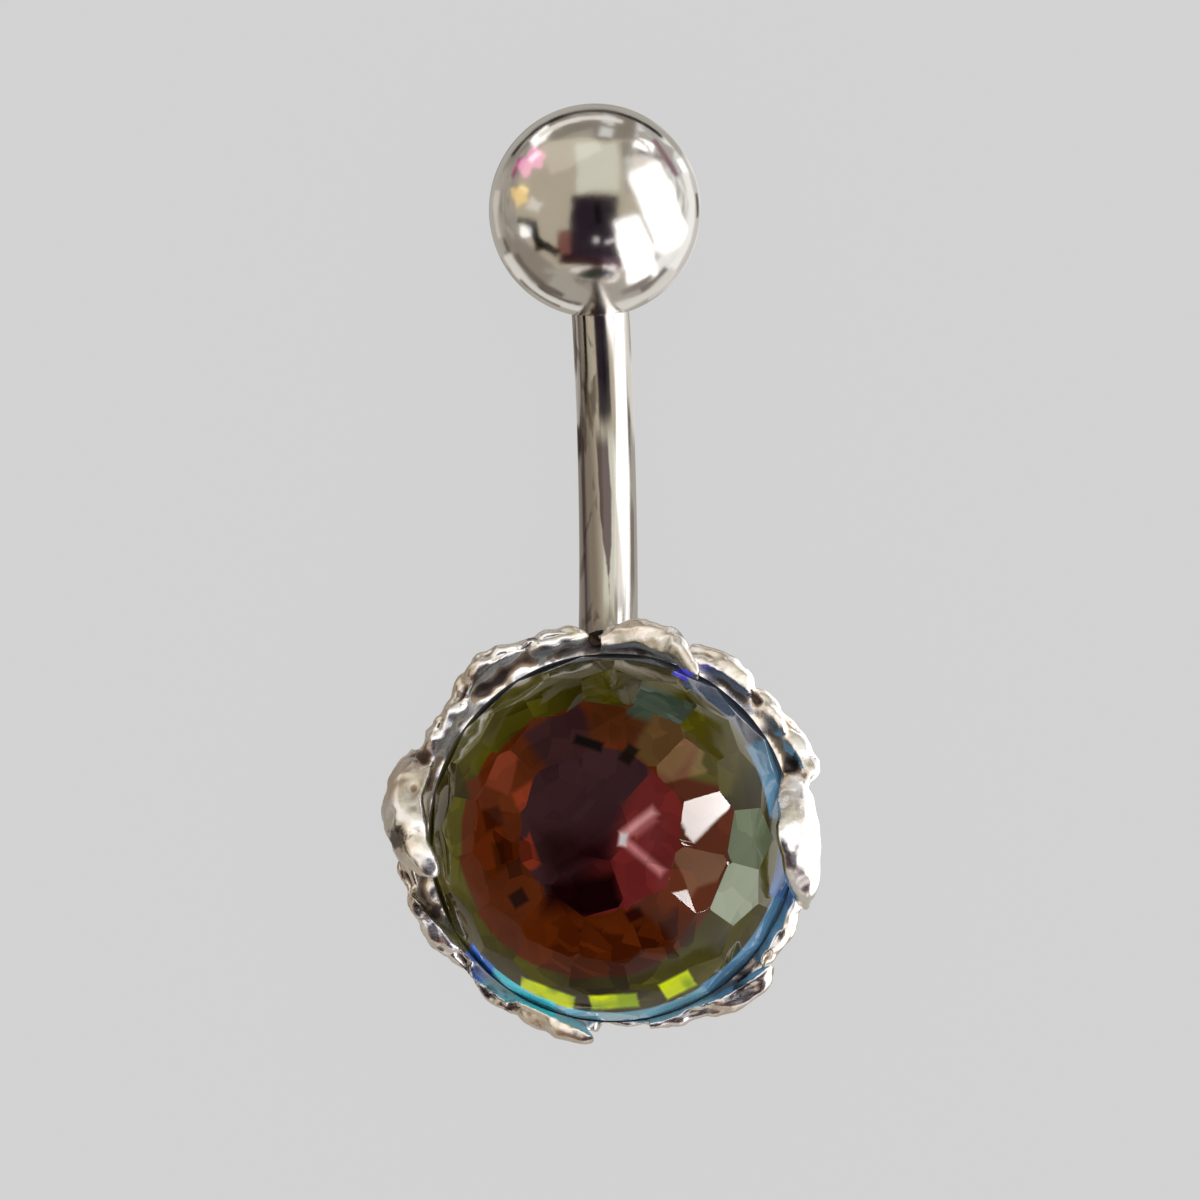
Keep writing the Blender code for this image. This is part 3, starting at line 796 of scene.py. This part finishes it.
def leaf_mesh(leaf):
    roll = math.radians(leaf.roll)
    rings = []
    for i in range(LEAF_STATIONS + 1):
        t = i / LEAF_STATIONS
        side = around(leaf.start + (leaf.end - leaf.start) * t)
        middle = side * bezier(leaf.r0, leaf.r1, leaf.r2, t) * STONE_RADIUS
        middle += UP * (GIRDLE_Z + bezier(leaf.h0, leaf.h1, leaf.h2, t) * STONE_RADIUS)
        across = -side * math.cos(roll) + UP * math.sin(roll)
        lift = side * math.sin(roll) + UP * math.cos(roll)
        if t < LEAF_WIDEST:
            shape = LEAF_ROOT + (1 - LEAF_ROOT) * math.sin(math.pi / 2 * t / LEAF_WIDEST)
        else:
            past = (t - LEAF_WIDEST) / (1 - LEAF_WIDEST)
            shape = max(math.sqrt(max(1 - past**2, 0.0)), LEAF_TIP)
        lobe = 1 - LEAF_LOBE_DEPTH * (1 - abs(math.sin(math.pi * LEAF_LOBES * t)))
        half = leaf.width * STONE_RADIUS / 2 * shape * lobe
        tall = leaf.thick * STONE_RADIUS / 2 * (LEAF_THIN + (1 - LEAF_THIN) * shape)
        ring = []
        for j in range(LEAF_SIDES):
            turn = 2 * math.pi * j / LEAF_SIDES
            rib = 1 + LEAF_RIB * math.exp(-(((turn - math.pi / 2) / RIB_SPREAD) ** 2))
            ring.append(middle + across * half * math.cos(turn) + lift * tall * math.sin(turn) * rib)
        rings.append(ring)
    return loft(rings)


def setting_shapes():
    """The closed shapes that the casting is made of: the cup, the wall and the leaves."""
    rim = STONE_RADIUS + SEAT_CLEARANCE + RIM_LIP
    waist = CUP_BASE + (rim - CUP_BASE) * CUP_WAIST_SHARE
    cup_top = GIRDLE_LOW_Z + CUP_EDGE
    profile = [(0.0, 0.0), (CUP_BASE - CUP_EDGE, 0.0), (CUP_BASE, CUP_EDGE)]
    profile += [(waist, GIRDLE_LOW_Z - CUP_WALL * 2), (rim, GIRDLE_LOW_Z - CUP_WALL / 2)]
    profile += [(rim, cup_top), (0.0, cup_top)]
    shapes = [lathe(profile, ROUND_STEPS)]
    first, last = GALLERY_GAP[1], GALLERY_GAP[0] + 360
    inner, outer = GALLERY_INNER_SHARE * STONE_RADIUS, GALLERY_OUTER_SHARE * STONE_RADIUS
    foot, low = inner - CUP_WALL, GIRDLE_LOW_Z - GALLERY_DROP_SHARE * STONE_RADIUS
    rings = []
    for i in range(GALLERY_STATIONS):
        angle = first + (last - first) * i / (GALLERY_STATIONS - 1)
        side = around(angle)
        rise = float(np.interp(angle % 360, GALLERY_ANGLES, GALLERY_RISES))
        high = GIRDLE_Z + rise * STONE_RADIUS
        section = [(foot, low), (inner, low + CUP_WALL / 2), (outer, low + CUP_WALL)]
        section += [(outer, high), (foot, high)]
        rings.append([side * r + UP * z for r, z in section])
    return shapes + [loft(rings)] + [leaf_mesh(leaf) for leaf in LEAVES]


def lumpiness_at(points):
    """How lumpy the casting is at each point: the leaves' own values, and little on the cup."""
    angle = np.degrees(np.arctan2(points[:, 0], points[:, 1]))
    radius = np.hypot(points[:, 0], points[:, 1]) / STONE_RADIUS
    height = (points[:, 2] - GIRDLE_Z) / STONE_RADIUS
    total = np.full(len(points), WALL_WEIGHT)
    value = total * WALL_LUMPY
    for leaf in LEAVES:
        turned = (angle - (leaf.start + leaf.end) / 2 + 180) % 360 - 180
        t = np.clip(turned / (leaf.end - leaf.start) + 0.5, -0.2, 1.2)
        inside = np.clip(t, 0, 1)
        away = (radius - bezier(leaf.r0, leaf.r1, leaf.r2, inside)) ** 2
        away += (height - bezier(leaf.h0, leaf.h1, leaf.h2, inside)) ** 2
        away += ((t - inside) * 0.6) ** 2
        weight = np.exp(-away / LEAF_SPREAD)
        total += weight
        value += weight * leaf.lumpy
    return value / total * np.clip((height + 0.45) / 0.35, 0.12, 1.0)


def facing_stone(points, normals):
    """How far each point of the casting faces the stone, from 0 to 1."""
    radius = np.maximum(np.hypot(points[:, 0], points[:, 1]), TINY)
    inward = -(normals[:, 0] * points[:, 0] + normals[:, 1] * points[:, 1]) / radius
    return np.clip(inward / FULLY_FACING, 0, 1)


def neighbour_means(edges, values):
    """Each point's mean over the points that an edge joins it to."""
    total = np.zeros_like(values)
    np.add.at(total, edges[:, 0], values[edges[:, 1]])
    np.add.at(total, edges[:, 1], values[edges[:, 0]])
    ways = np.bincount(edges.ravel(), minlength=len(values))
    return total / np.maximum(ways, 1).reshape((-1,) + (1,) * (values.ndim - 1))


def read_edges(mesh):
    edges = np.empty(len(mesh.edges) * 2, int)
    mesh.edges.foreach_get("vertices", edges)
    return edges.reshape(-1, 2)


def read_vectors(source, name="co"):
    values = np.empty(len(source) * 3)
    source.foreach_get(name, values)
    return values.reshape(-1, 3)


def write_points(mesh, place):
    mesh.vertices.foreach_set("co", place.ravel())
    mesh.update()


def casting_relief(points):
    """How high the casting lies at each point, in millimetres: smooth lumps with folds between them."""
    angle = np.arctan2(points[:, 0], points[:, 1])
    radius = np.hypot(points[:, 0], points[:, 1])
    relief = np.empty(len(points))
    for i, (turn, r, z) in enumerate(zip(angle, radius, points[:, 2])):
        spot = Vector((turn * 3.9 + 0.5 * r, r * 1.25 - 0.3 * z, z * 1.25))
        near, next_near = noise.voronoi(spot)[0][:2]
        fold = math.exp(-(((next_near - near) / 0.13) ** 2))
        lump = noise.noise(Vector(points[i]) * 1.15)
        pock = max(0.0, noise.noise(Vector(points[i]) * 2.3 + Vector((7.0, 1.0, 3.0))) - 0.22)
        relief[i] = LUMP_DEPTH * lump - FOLD_DEPTH * fold - POCK_DEPTH * pock
    for clock, share, size in PITS:
        middle = around(clock) * share * STONE_RADIUS
        away = np.hypot(points[:, 0] - middle.x, points[:, 1] - middle.y)
        relief -= PIT_DEPTH * np.exp(-((away / size) ** 2))
    return relief


def casting_skin():
    """The cup, the wall and the leaves as one fine mesh."""
    points, faces = [], []
    for shape_points, shape_faces in setting_shapes():
        offset = len(points)
        points += shape_points
        faces += [tuple(i + offset for i in face) for face in shape_faces]
    setting = add_mesh("leaf_setting", points, faces)
    remesh = setting.modifiers.new("remesh", "REMESH")
    remesh.mode = "VOXEL"
    remesh.voxel_size = SKIN_VOXEL
    apply_modifiers(setting)
    return setting


def sink_relief(mesh):
    """Smooths the skin's voxels away and sinks the relief into it."""
    edges = read_edges(mesh)
    place = read_vectors(mesh.vertices)
    for _ in range(2):
        place = place * 0.5 + neighbour_means(edges, place) * 0.5
    write_points(mesh, place)
    normals = read_vectors(mesh.vertex_normals, "vector")
    relief = casting_relief(place)
    for _ in range(2):
        relief = neighbour_means(edges, relief)
    lumpy = lumpiness_at(place) * (1 - INNER_SMOOTHNESS * facing_stone(place, normals))
    relief = (relief - np.percentile(relief, 97)) * lumpy
    place = place + normals * np.clip(relief, DEEPEST_RELIEF, HIGHEST_RELIEF)[:, None]
    place[:, 2] = np.maximum(place[:, 2], 0.0)
    write_points(mesh, place)


def stone_space():
    """What the casting leaves free: the stone with its clearance, and the hollow of the cup."""
    grown = STONE_RADIUS + SEAT_CLEARANCE
    slope = (GIRDLE_LOW_Z - CULET_Z) / (STONE_RADIUS - CULET_RADIUS)
    seat_high = GIRDLE_LOW_Z - SEAT_CLEARANCE * math.hypot(1, slope)
    seat_low = seat_high - (STONE_RADIUS - CAVITY) * slope
    profile = [(0.0, CUP_FLOOR), (CAVITY, CUP_FLOOR), (CAVITY, seat_low), (STONE_RADIUS, seat_high)]
    profile.append((grown, GIRDLE_LOW_Z))
    for i in range(SPACE_RINGS):
        turn = math.pi / 2 * i / SPACE_RINGS
        profile.append((grown * math.cos(turn), GIRDLE_Z + grown * math.sin(turn)))
    profile.append((0.0, GIRDLE_Z + grown))
    return new_object("stone_space", *lathe(profile, ROUND_STEPS))


def build_setting(material):
    setting = casting_skin()
    sink_relief(setting.data)
    space = stone_space()
    cut = setting.modifiers.new("space", "BOOLEAN")
    cut.operation = "DIFFERENCE"
    cut.solver = "MANIFOLD"
    cut.object = space
    apply_modifiers(setting)
    bpy.data.objects.remove(space, do_unlink=True)
    mesh = setting.data
    mesh.shade_smooth()
    mesh.set_sharp_from_angle(angle=math.radians(55))
    store_recesses(mesh)
    mesh.materials.clear()
    mesh.materials.append(material)
    settle(setting, AXIS)
    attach(setting, "ring")
    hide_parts("bar_and_setting")
    return setting


def store_recesses(mesh):
    """Stores for the material how deep each point lies, from 0.5 level to 1 deep, and how far inside it lies,
    where the material paints shade.
    """
    edges = read_edges(mesh)
    place = read_vectors(mesh.vertices)
    normals = read_vectors(mesh.vertex_normals, "vector")
    wide = place
    for _ in range(10):
        wide = neighbour_means(edges, wide)
    depth = neighbour_means(edges, ((wide - place) * normals).sum(axis=1))
    height = (place[:, 2] - GIRDLE_Z) / STONE_RADIUS
    inner = facing_stone(place, normals) * np.clip((0.16 - height) / 0.10, 0, 1)
    for _ in range(3):
        inner = neighbour_means(edges, inner)
    for name, values in (("depth", np.clip(0.5 + depth / RECESS_DEPTH, 0, 1)), ("inner", inner)):
        layer = mesh.attributes.new(name, "FLOAT", "POINT")
        layer.data.foreach_set("value", values.astype(np.float32))


def cast_silver():
    """Bright cast metal, tan in its shallow folds and dark in its hollows and pits, with painted shade where
    it lies inside, which is also rougher there.
    """
    material, tree = new_material("cast_silver", Metallic=1.0)
    depth = tree.add("ShaderNodeAttribute", {}, attribute_name="depth").outputs["Fac"]
    inner = tree.add("ShaderNodeAttribute", {}, attribute_name="inner").outputs["Fac"]
    inner = tree.spread(inner, 0.25, 0.95)
    place = tree.place((1, 1, 1))
    cloud = tree.noise(place, 0.8, 4.0, 0.6)
    speck = tree.noise(place, 3.2, 4.0, 0.7)
    uneven = tree.math("SUBTRACT", speck, 0.5)
    shade = tree.math("ADD", depth, tree.times(uneven, 0.25))
    colour = tree.mix(tree.spread(cloud, 0.42, 0.62), rgb(250, 249, 250), rgb(236, 226, 214))
    colour = tree.mix(tree.spread(shade, 0.54, 0.66), colour, rgb(164, 144, 124))
    colour = tree.mix(tree.spread(shade, 0.66, 0.90), colour, rgb(84, 75, 74))
    flat = tree.place((1, 1, 0))
    ragged = tree.times(uneven, 1.1)
    for clock, share, size in PITS:
        away = tree.vector("DISTANCE", flat, tuple(around(clock) * share * STONE_RADIUS))
        near = tree.spread(tree.math("ADD", away, ragged), size * 0.5, size * 1.2, 0.80, 0.0)
        colour = tree.mix(near, colour, rgb(66, 50, 46))
    # Painted shade: the low faces that look at the stone turn grey
    tree.surface("Base Color", tree.mix(tree.times(inner, 0.7), colour, rgb(168, 166, 170)))
    rough = tree.spread(shade, 0.40, 0.75, 0.25, 0.5)
    tree.surface("Roughness", tree.math("MAXIMUM", rough, tree.times(inner, 0.6)))
    bump = tree.add("ShaderNodeBump", {"Strength": 0.3, "Distance": 0.00003, "Height": speck})
    tree.surface("Normal", bump.outputs[0])
    return material


# Stone

def cut_plane(work, point, normal):
    everything = work.verts[:] + work.edges[:] + work.faces[:]
    cut = bmesh.ops.bisect_plane(
        work, geom=everything, dist=TINY, plane_co=point, plane_no=normal, clear_outer=True
    )
    edges = [item for item in cut["geom_cut"] if isinstance(item, bmesh.types.BMEdge)]
    if edges:
        bmesh.ops.contextual_create(work, geom=edges)


def build_glass(material):
    """The clear dome with its facets, whose edges are a little worn."""
    profile = [(0.0, CULET_Z), (CULET_RADIUS, CULET_Z), (STONE_RADIUS, GIRDLE_LOW_Z)]
    for i in range(DOME_RINGS):
        turn = math.pi / 2 * i / DOME_RINGS
        profile.append((STONE_RADIUS * math.cos(turn), GIRDLE_Z + STONE_RADIUS * math.sin(turn)))
    profile.append((0.0, GIRDLE_Z + STONE_RADIUS))
    glass = new_object("stone_glass", *lathe(profile, DOME_STEPS), material)
    work = bmesh.new()
    work.from_mesh(glass.data)
    centre = UP * GIRDLE_Z
    cut_plane(work, centre + UP * STONE_RADIUS * FACET_SHARE, UP)
    for lean, count, first in DOME_ROWS:
        lean = math.radians(lean)
        for i in range(count):
            normal = around(first + 360 * i / count) * math.sin(lean) + UP * math.cos(lean)
            cut_plane(work, centre + normal * STONE_RADIUS * FACET_SHARE, normal)
    work.to_mesh(glass.data)
    work.free()
    bevel = glass.modifiers.new("wear", "BEVEL")
    bevel.width = STONE_WEAR
    bevel.segments = 3
    bevel.limit_method = "ANGLE"
    bevel.angle_limit = math.radians(7)
    bevel.harden_normals = True
    apply_modifiers(glass)
    glass.data.shade_smooth()
    glass.data.set_sharp_from_angle(angle=math.radians(30))
    settle(glass, AXIS)
    glass.visible_shadow = False
    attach(glass, "ring")
    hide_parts("stone")
    return glass


def build_coating(material):
    """The bright coat, just inside the stone's underside: a thin bowl."""
    low, high = CULET_Z + COAT_INSET, GIRDLE_Z + COAT_RISE
    outer = STONE_RADIUS - 2 * COAT_INSET
    inner = outer - COAT_THICK
    profile = [(0.0, low), (CULET_RADIUS, low), (outer, GIRDLE_LOW_Z), (outer, high), (inner, high)]
    profile += [(inner, GIRDLE_LOW_Z + COAT_THICK), (CULET_RADIUS, low + COAT_THICK), (0.0, low + COAT_THICK)]
    coat = new_object("stone_coating", *lathe(profile, ROUND_STEPS), material)
    coat.data.set_sharp_from_angle(angle=math.radians(30))
    settle(coat, AXIS)
    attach(coat, "ring")
    return coat


# Fields of colour in the dome, from its middle, as shares of its radius: to the right, towards the bar,
# half width, half height, turn in degrees, softness, colour
DOME_PATCHES = (
    (-0.17, 0.47, 0.16, 0.13, 25, 0.02, (48, 27, 29)),
    (-0.62, 0.08, 0.07, 0.24, 8, 0.02, (82, 36, 16)),
    (-0.51, 0.32, 0.05, 0.08, -25, 0.01, (104, 47, 28)),
    (-0.42, 0.2, 0.05, 0.05, 20, 0.01, (114, 47, 27)),
    (-0.36, -0.1, 0.04, 0.06, 15, 0.01, (102, 41, 25)),
    (0.12, 0.58, 0.16, 0.1, 0, 0.03, (64, 33, 12)),
    (0.31, 0.63, 0.13, 0.1, -25, 0.02, (54, 66, 54)),
    # Painted reflections: the beige and olive fields at the upper right
    (0.36, 0.44, 0.14, 0.12, -35, 0.02, (82, 60, 34)),
    (0.62, 0.36, 0.11, 0.14, -20, 0.02, (72, 66, 26)),
    # Painted reflection: the two darkest fields near the middle mirror something dark above the stone
    (-0.11, -0.33, 0.18, 0.1, 3, 0.05, (24, 8, 10)),
    (-0.12, -0.12, 0.17, 0.09, 0, 0.07, (33, 14, 16)),
)
# Painted glints and small dark fields inside the stone, in the same terms
GLINTS = (
    (-0.57, 0.085, 0.052, 0.054, 14, 0.014, (56, 24, 13)),
    (-0.535, -0.115, 0.034, 0.074, 10, 0.014, (58, 27, 12)),
    (-0.445, -0.335, 0.046, 0.04, 28, 0.012, (32, 12, 8)),
    (0.16, -0.44, 0.042, 0.028, 24, 0.012, (42, 16, 12)),
    (-0.052, 0.455, 0.078, 0.026, -20, 0.014, (12, 5, 5)),
    (0.158, 0.388, 0.034, 0.05, -34, 0.014, (26, 14, 7)),
    # The crimson and pinkish rows below are painted highlights along facets' edges
    (0.27, -0.06, 0.06, 0.08, 0, 0.06, (100, 42, 42)),
    (0.205, 0.03, 0.095, 0.016, 37, 0.03, (196, 136, 136)),
    (0.235, 0.005, 0.06, 0.006, 37, 0.03, (150, 84, 84)),
    (0.225, -0.15, 0.115, 0.014, -42, 0.028, (176, 112, 114)),
    (0.12, -0.055, 0.014, 0.026, -10, 0.02, (240, 208, 208)),
)
# Painted flashes of light near the stone's lower edge, in the same terms as the patches above
FLASHES = (
    (-0.35, -0.838, 0.15, 0.038, -22, 0.012, (204, 218, 6)),
    (0.01, -0.888, 0.125, 0.036, 2, 0.012, (212, 226, 0)),
    (0.35, -0.81, 0.085, 0.042, 25, 0.012, (206, 222, 8)),
)
# Facets with a painted reflection that makes them paler and milky: row, degrees clockwise from the bar,
# milkiness, colour
PAINTED_REFLECTION_FACETS = (
    (2, 116.5, 0.45, (140, 148, 130)),
    (2, 94, 0.15, (92, 104, 78)),
)
# The dome's rim, in the coating's own colours with painted reflections in them, in degrees clockwise from the
# bar: from, to, how far out it starts, colour
RIM_COLOURS = (
    (-46, 24, 0.955, (98, 102, 106)),
    (24, 29, 0.925, (70, 70, 232)),
    (29, 60, 0.89, (72, 84, 104)),
    (60, 86, 0.87, (92, 142, 178)),
    (86, 112, 0.915, (62, 110, 176)),
    (112, 150, 0.94, (84, 140, 184)),
    (150, 200, 0.95, (118, 186, 214)),
    (200, 223, 0.94, (56, 214, 240)),
    (223, 233, 0.935, (20, 116, 246)),
)
# How brightly the coat glows, a painted light, which the glass's tints allow for
COAT_GLOW = 0.45
# How clear the glass stays where it flashes or rims the stone
MILKY_CLEARNESS = 0.25
# How far a field of colour breaks at a facet's edge
FACET_JUMP = 0.42
RIM_SOFTNESS = 0.005


def disc(tree, spot, x, y, radius, soft):
    """1 inside a disc and 0 outside it."""
    away = tree.vector("DISTANCE", spot, (x, y, 0.0))
    return tree.spread(away, radius - soft, radius + soft, 1.0, 0.0)


def slab(tree, spot, x, y, wide, high, turn, soft):
    """1 inside a turned rectangle and 0 outside it."""
    turn = math.radians(turn)
    offset = tree.vector("SUBTRACT", spot, (x, y, 0.0))
    along = tree.math("ABSOLUTE", tree.dot(offset, (math.cos(turn), math.sin(turn), 0)))
    over = tree.math("ABSOLUTE", tree.dot(offset, (-math.sin(turn), math.cos(turn), 0)))
    outside = tree.math("MAXIMUM", tree.math("SUBTRACT", along, wide), tree.math("SUBTRACT", over, high))
    return tree.spread(outside, -soft, soft, 1.0, 0.0)


def dome_colours(tree):
    """The glass's colours, in fields that break at the facets' edges, among them painted reflections, glints
    and flashes, and how milky it is.
    """
    point = tree.place((1 / STONE_RADIUS, 1 / STONE_RADIUS, 0.0))
    way = tree.add("ShaderNodeTexCoord", {}).outputs["Normal"]
    facet = tree.vector("MULTIPLY", way, (1.0, 1.0, 0.0))
    jump = tree.vector("MULTIPLY", tree.vector("SUBTRACT", facet, point), (FACET_JUMP, FACET_JUMP, 0.0))
    spot = tree.vector("ADD", point, jump)
    patchy = tree.spread(tree.noise(facet, 3.1, 2.0, 0.5), 0.35, 0.65)
    colour = tree.mix(patchy, rgb(44, 38, 8), rgb(74, 71, 18))
    red = tree.mix(patchy, rgb(68, 30, 9), rgb(82, 37, 14))
    colour = tree.mix(disc(tree, spot, -0.045, -0.045, 0.725, 0.008), colour, red)
    rightwards = tree.spread(tree.dot(spot, (1.0, -0.6, 0.0)), 0.02, 0.15)
    plum = tree.mix(rightwards, rgb(50, 31, 34), rgb(94, 35, 34))
    colour = tree.mix(disc(tree, spot, -0.01, -0.03, 0.43, 0.01), colour, plum)
    for *shape, tone in DOME_PATCHES:
        colour = tree.mix(slab(tree, spot, *shape), colour, rgb(*tone))
    for *shape, tone in GLINTS:
        colour = tree.mix(slab(tree, point, *shape), colour, rgb(*tone))
    milky = 0.0
    # Painted reflections on single facets, paler and milky
    for row, angle, milkiness, tone in PAINTED_REFLECTION_FACETS:
        middle = around(angle) * math.sin(math.radians(DOME_ROWS[row][0]))
        here = disc(tree, facet, middle.x, middle.y, 0.10, 0.02)
        colour = tree.mix(here, colour, rgb(*tone))
        milky = tree.math("MAXIMUM", milky, tree.times(here, milkiness))
    uneven = tree.spread(tree.noise(tree.place((1, 1, 0)), 0.9, 2.0, 0.5), 0.42, 0.56, 0.0, 0.75)
    # Painted flashes of light, which also make the glass milky
    for *shape, tone in FLASHES:
        here = slab(tree, point, *shape)
        colour = tree.mix(here, colour, tree.mix(uneven, rgb(*tone), rgb(112, 150, 12)))
        milky = tree.math("MAXIMUM", milky, here)
    # Painted reflections: the rim's colours brighter on some facets and darker on others
    shimmer = tree.spread(tree.noise(facet, 5.3, 2.0, 0.5), 0.35, 0.65, 0.65, 1.15)
    shimmer = tree.add("ShaderNodeCombineXYZ", {0: shimmer, 1: shimmer, 2: shimmer}).outputs[0]
    far = tree.vector("LENGTH", point)
    outward = tree.vector("NORMALIZE", point)
    for first, last, start, tone in RIM_COLOURS:
        half = math.radians((last - first) / 2)
        facing = tree.dot(outward, tuple(around((first + last) / 2)))
        here = tree.spread(facing, math.cos(half + 0.02), math.cos(half - 0.02))
        here = tree.times(here, tree.spread(far, start - RIM_SOFTNESS, start + RIM_SOFTNESS))
        colour = tree.mix(here, colour, tree.vector("MULTIPLY", shimmer, rgb(*tone)[:3]))
        milky = tree.math("MAXIMUM", milky, here)
    return colour, milky


def clear_glass():
    tint = (0.10, 0.10, 0.10, 1.0)
    material, tree = new_material("clear_glass", Roughness=0.0, IOR=1.5, Specular_Tint=tint)
    colour, milky = dome_colours(tree)
    scaled = tree.vector("MULTIPLY", colour, (1 / COAT_GLOW,) * 3)
    through = tree.vector("MULTIPLY", scaled, scaled)
    tree.surface("Base Color", tree.mix(milky, through, colour))
    tree.surface("Transmission Weight", tree.spread(milky, 0.0, 1.0, 1.0, MILKY_CLEARNESS))
    return material


def coating():
    """The coat on the stone's back: small bright and dark fields, painted reflections of its own facets in
    each other.

    It glows a little, a painted light that stands for the light a cut stone gathers and sends back up.
    """
    material, tree = new_material(
        "coating", Roughness=0.6, Specular_IOR_Level=0.0, Emission_Strength=COAT_GLOW
    )
    place = tree.place((1, 1, 0))
    # Painted reflections: bright and dark cells for the coat's facets mirroring each other
    cells = tree.add("ShaderNodeTexVoronoi", {"Vector": place, "Scale": 1.6}).outputs["Color"]
    tone = tree.add("ShaderNodeSeparateColor", {"Color": cells}).outputs
    colour = tree.mix(tone[0], (0.62, 0.60, 0.60, 1.0), (0.94, 0.94, 0.92, 1.0))
    far = tree.vector("LENGTH", place)
    ring = tree.times(tree.spread(far, 1.2, 1.4), tree.spread(far, 2.6, 2.9, 1.0, 0.0))
    dark = tree.times(tree.spread(tone[1], 0.84, 0.88), ring)
    colour = tree.mix(dark, colour, (0.42, 0.36, 0.36, 1.0))
    tree.surface("Base Color", colour)
    # Painted light: the coat glows in its own colours
    tree.surface("Emission Color", colour)
    material.cycles.emission_sampling = "NONE"
    return material


# The whole

bpy.context.scene.view_settings.view_transform = "Standard"
add_camera()
studio = add_studio()
floor = add_floor()
ball = build_ball(polished_steel("ball_steel", (1, 1, 1)))
bar = build_bar(polished_steel("bar_steel", (1, 0.05, 1), bar_shade_reflection_and_marks))
setting = build_setting(cast_silver())
coat = build_coating(coating())
glass = build_glass(clear_glass())
for cards, piece in zip(studio, (ball, bar, setting, glass)):
    seen_only_in(cards, piece)
seen_only_in([floor], ball, bar, setting, coat)

boxes = {"cad": CAD_BOX, "visual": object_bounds()}
{name: [list(corner) for corner in box] for name, box in boxes.items()}
